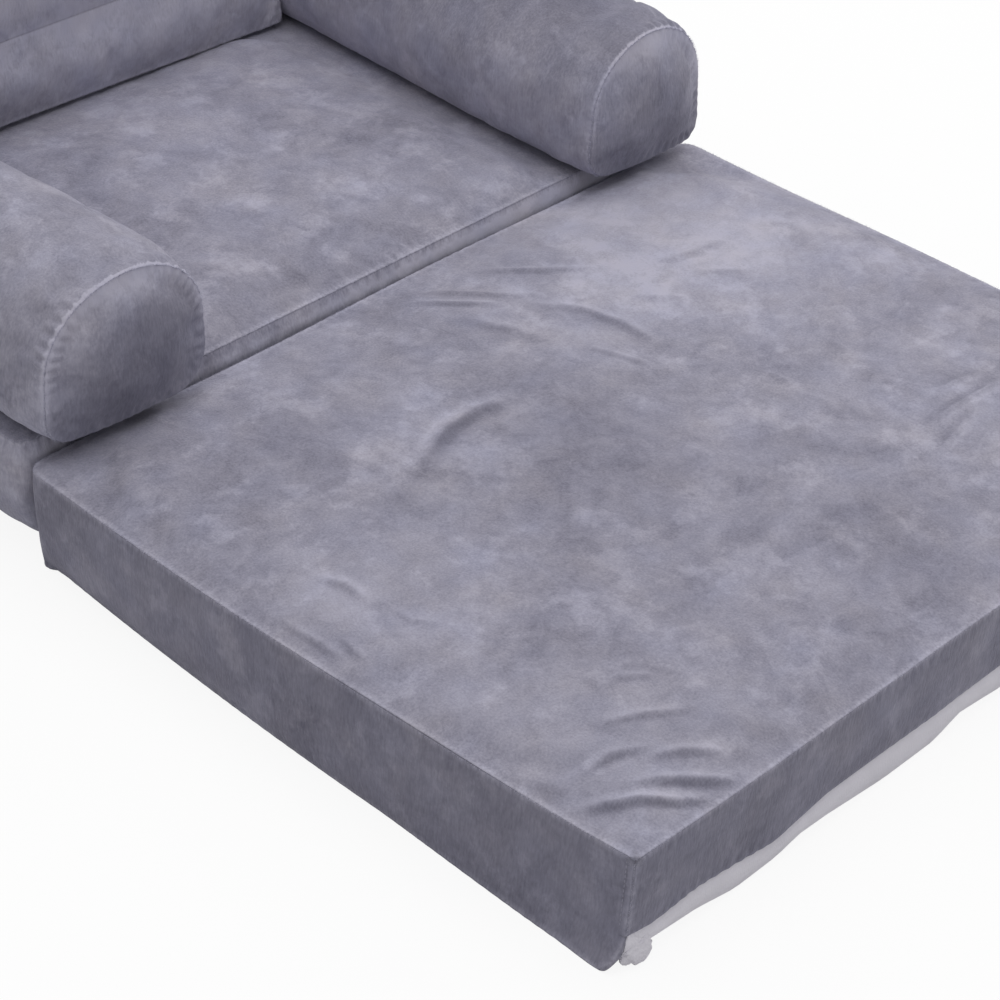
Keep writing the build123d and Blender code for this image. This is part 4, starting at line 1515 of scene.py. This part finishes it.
def arm_block(side, hand):
    """The long block of an arm."""
    low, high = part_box(f"{side}_arm_foam_core")
    inner, outer = sorted((abs(low.x), abs(high.x)))
    near, far = low.y + BLOCK_INSET, high.y - BLOCK_INSET
    rings = []
    for y, inset in (
        (near, 0.8 * BLOCK_INSET + BLOCK_CHAMFER),
        (near + BLOCK_CHAMFER, 0.8 * BLOCK_INSET),
        (far - BLOCK_CHAMFER, 1.1 * BLOCK_INSET),
        (far, 1.1 * BLOCK_INSET + BLOCK_CHAMFER),
    ):
        section = arm_section(inner + 0.008, outer - 0.004, low.z, high.z - 0.004, inset)
        rings.append(upright_ring(section, y, hand))
    return foam_block(f"{side}_arm_foam_block", rings)


pad_block = level_block("pad_foam_block", pad_plan, PAD_SEAM_HEIGHT, tuck + 0.014 * on_foot)
seat_block = level_block("seat_foam_block", narrowed(seat_plan, 0.016), SEAT_SEAM_HEIGHT, 0.012)
left_arm_block = arm_block("left", -1)
right_arm_block = arm_block("right", 1)
back_slices = (
    (1.6 * BLOCK_INSET, back_seam_y + BLOCK_CHAMFER, BACK_LEAN),
    (1.3 * BLOCK_INSET, back_seam_y + 2 * BLOCK_CHAMFER, BACK_LEAN),
    (1.3 * BLOCK_INSET, back_rear_y - 3 * BLOCK_CHAMFER, 0),
    (1.6 * BLOCK_INSET, back_rear_y - 2 * BLOCK_CHAMFER, 0),
)
back_block = foam_block("back_foam_block", [leaning_ring(*ring) for ring in back_slices])
print("foam blocks: 5")

# %% [markdown]
# ## Fabric hinge
#
# One strip of doubled plush joins the two blocks at the foot of the crease. It goes down one
# crease face, turns at the floor and comes up the other. When the pad folds under, the strip
# opens out flat. Here it is one piece, shaped as it lies at rest.

# %% Fabric hinge
STRIP_HALF_WIDTH, STRIP_OUTSIDE, STRIP_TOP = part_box("hinge_seat_leaf")[1]
STRIP_INSIDE = 0.00025
STRIP_BEND_HEIGHT = 0.0022
STRIP_LEAF_FOOT = 0.012
STRIP_TO_SEAT = 0.0017
STRIP_TO_PAD = 0.0008


def strip_side(half_gap, drop):
    """One side of the folded strip's section: down a leaf, round the turn and up the other leaf."""
    leaf = [(half_gap, STRIP_TOP), (half_gap, STRIP_LEAF_FOOT)]
    turn = [
        (half_gap * cos(angle), STRIP_BEND_HEIGHT + drop * (sin(angle) - 0.3))
        for angle in np.linspace(0, -pi, 9)
    ]
    return leaf + turn + [(-gap, height) for gap, height in leaf[::-1]]


profile = np.array(strip_side(STRIP_OUTSIDE, 0.0016) + strip_side(STRIP_INSIDE, 0.0008)[::-1])
stations = np.linspace(-STRIP_HALF_WIDTH, STRIP_HALF_WIDTH, 90)
strip_rings = [np.column_stack((np.full(len(profile), x), profile)) for x in stations]
strip = shell("hinge_strip", strip_rings, folded=True)
# Each leaf lies against its block.
rows = places(strip)
against = ramp(rows[:, 2] - STRIP_BEND_HEIGHT, STRIP_LEAF_FOOT - STRIP_BEND_HEIGHT)
rows[:, 1] += against * np.where(rows[:, 1] > 0, STRIP_TO_SEAT, -STRIP_TO_PAD)
put(strip, rows)
smooth_faces(strip)
# The strip gets the painted shade of upright faces, and no seam.
carry(strip, "nap_and_light", np.full(len(strip.data.vertices), UPRIGHT_SHADED_NAP))
carry(strip, "seam_gap", np.full(len(strip.data.vertices), 1.0))
dress(strip, grey_plush)
print("hinge strip:", round(2 * STRIP_HALF_WIDTH, 3), "m long")

# %% [markdown]
# ## Which body each piece moves with
#
# The CAD knows the joints, and each new piece only has to say which body it rides on and which
# CAD solids it stands for. The stuffed pieces are listed with a finish and how tight they are.

# %% Bodies, replaced nodes and finishes
BACK_PANELS = ["back_front_panel", "back_lower_front_panel", "back_side_band", "back_rear_panel"]
STUFFED = [
    (pad_cover, "pad", ["pad_top_panel", "pad_side_band"], "plush", 0.9),
    (pad_lining, "pad", ["pad_bottom_lining"], "lining", 0.9),
    (lining_fold, "pad", [], "lining", 0.3),
    (seat_cover, "sofa", ["seat_top_panel", "seat_side_band"], "plush", 0.9),
    (seat_lining, "sofa", ["seat_bottom_lining"], "lining", 0.9),
    (left_arm, "sofa", ["left_arm_cover", "left_arm_front_panel", "left_arm_rear_panel"], "plush", 0.9),
    (right_arm, "sofa", ["right_arm_cover", "right_arm_front_panel", "right_arm_rear_panel"], "plush", 0.9),
    (back_cover, "sofa", BACK_PANELS, "plush", 0.85),
    (pad_block, "pad", ["pad_foam_core"], "foam", 1.0),
    (seat_block, "sofa", ["seat_foam_core"], "foam", 1.0),
    (left_arm_block, "sofa", ["left_arm_foam_core"], "foam", 1.0),
    (right_arm_block, "sofa", ["right_arm_foam_core"], "foam", 1.0),
    (back_block, "sofa", ["back_foam_core"], "foam", 1.0),
]
for piece, body, nodes, slot, fill in STUFFED:
    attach(piece, body)
    if nodes:
        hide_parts(*nodes)

on_pad = [pad_tips, pad_stitches]
on_sofa = [seat_tips, left_tips, right_tips, back_tips, seat_stitches, back_stitches]
for piece, body in [(piece, "pad") for piece in on_pad] + [(piece, "sofa") for piece in on_sofa]:
    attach(piece, body)

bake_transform(strip)
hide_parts("hinge_seat_leaf", "hinge_pad_leaf")
# The strip stands for both leaves and the turn at the floor.
print("pieces placed:", len(STUFFED) + 1)
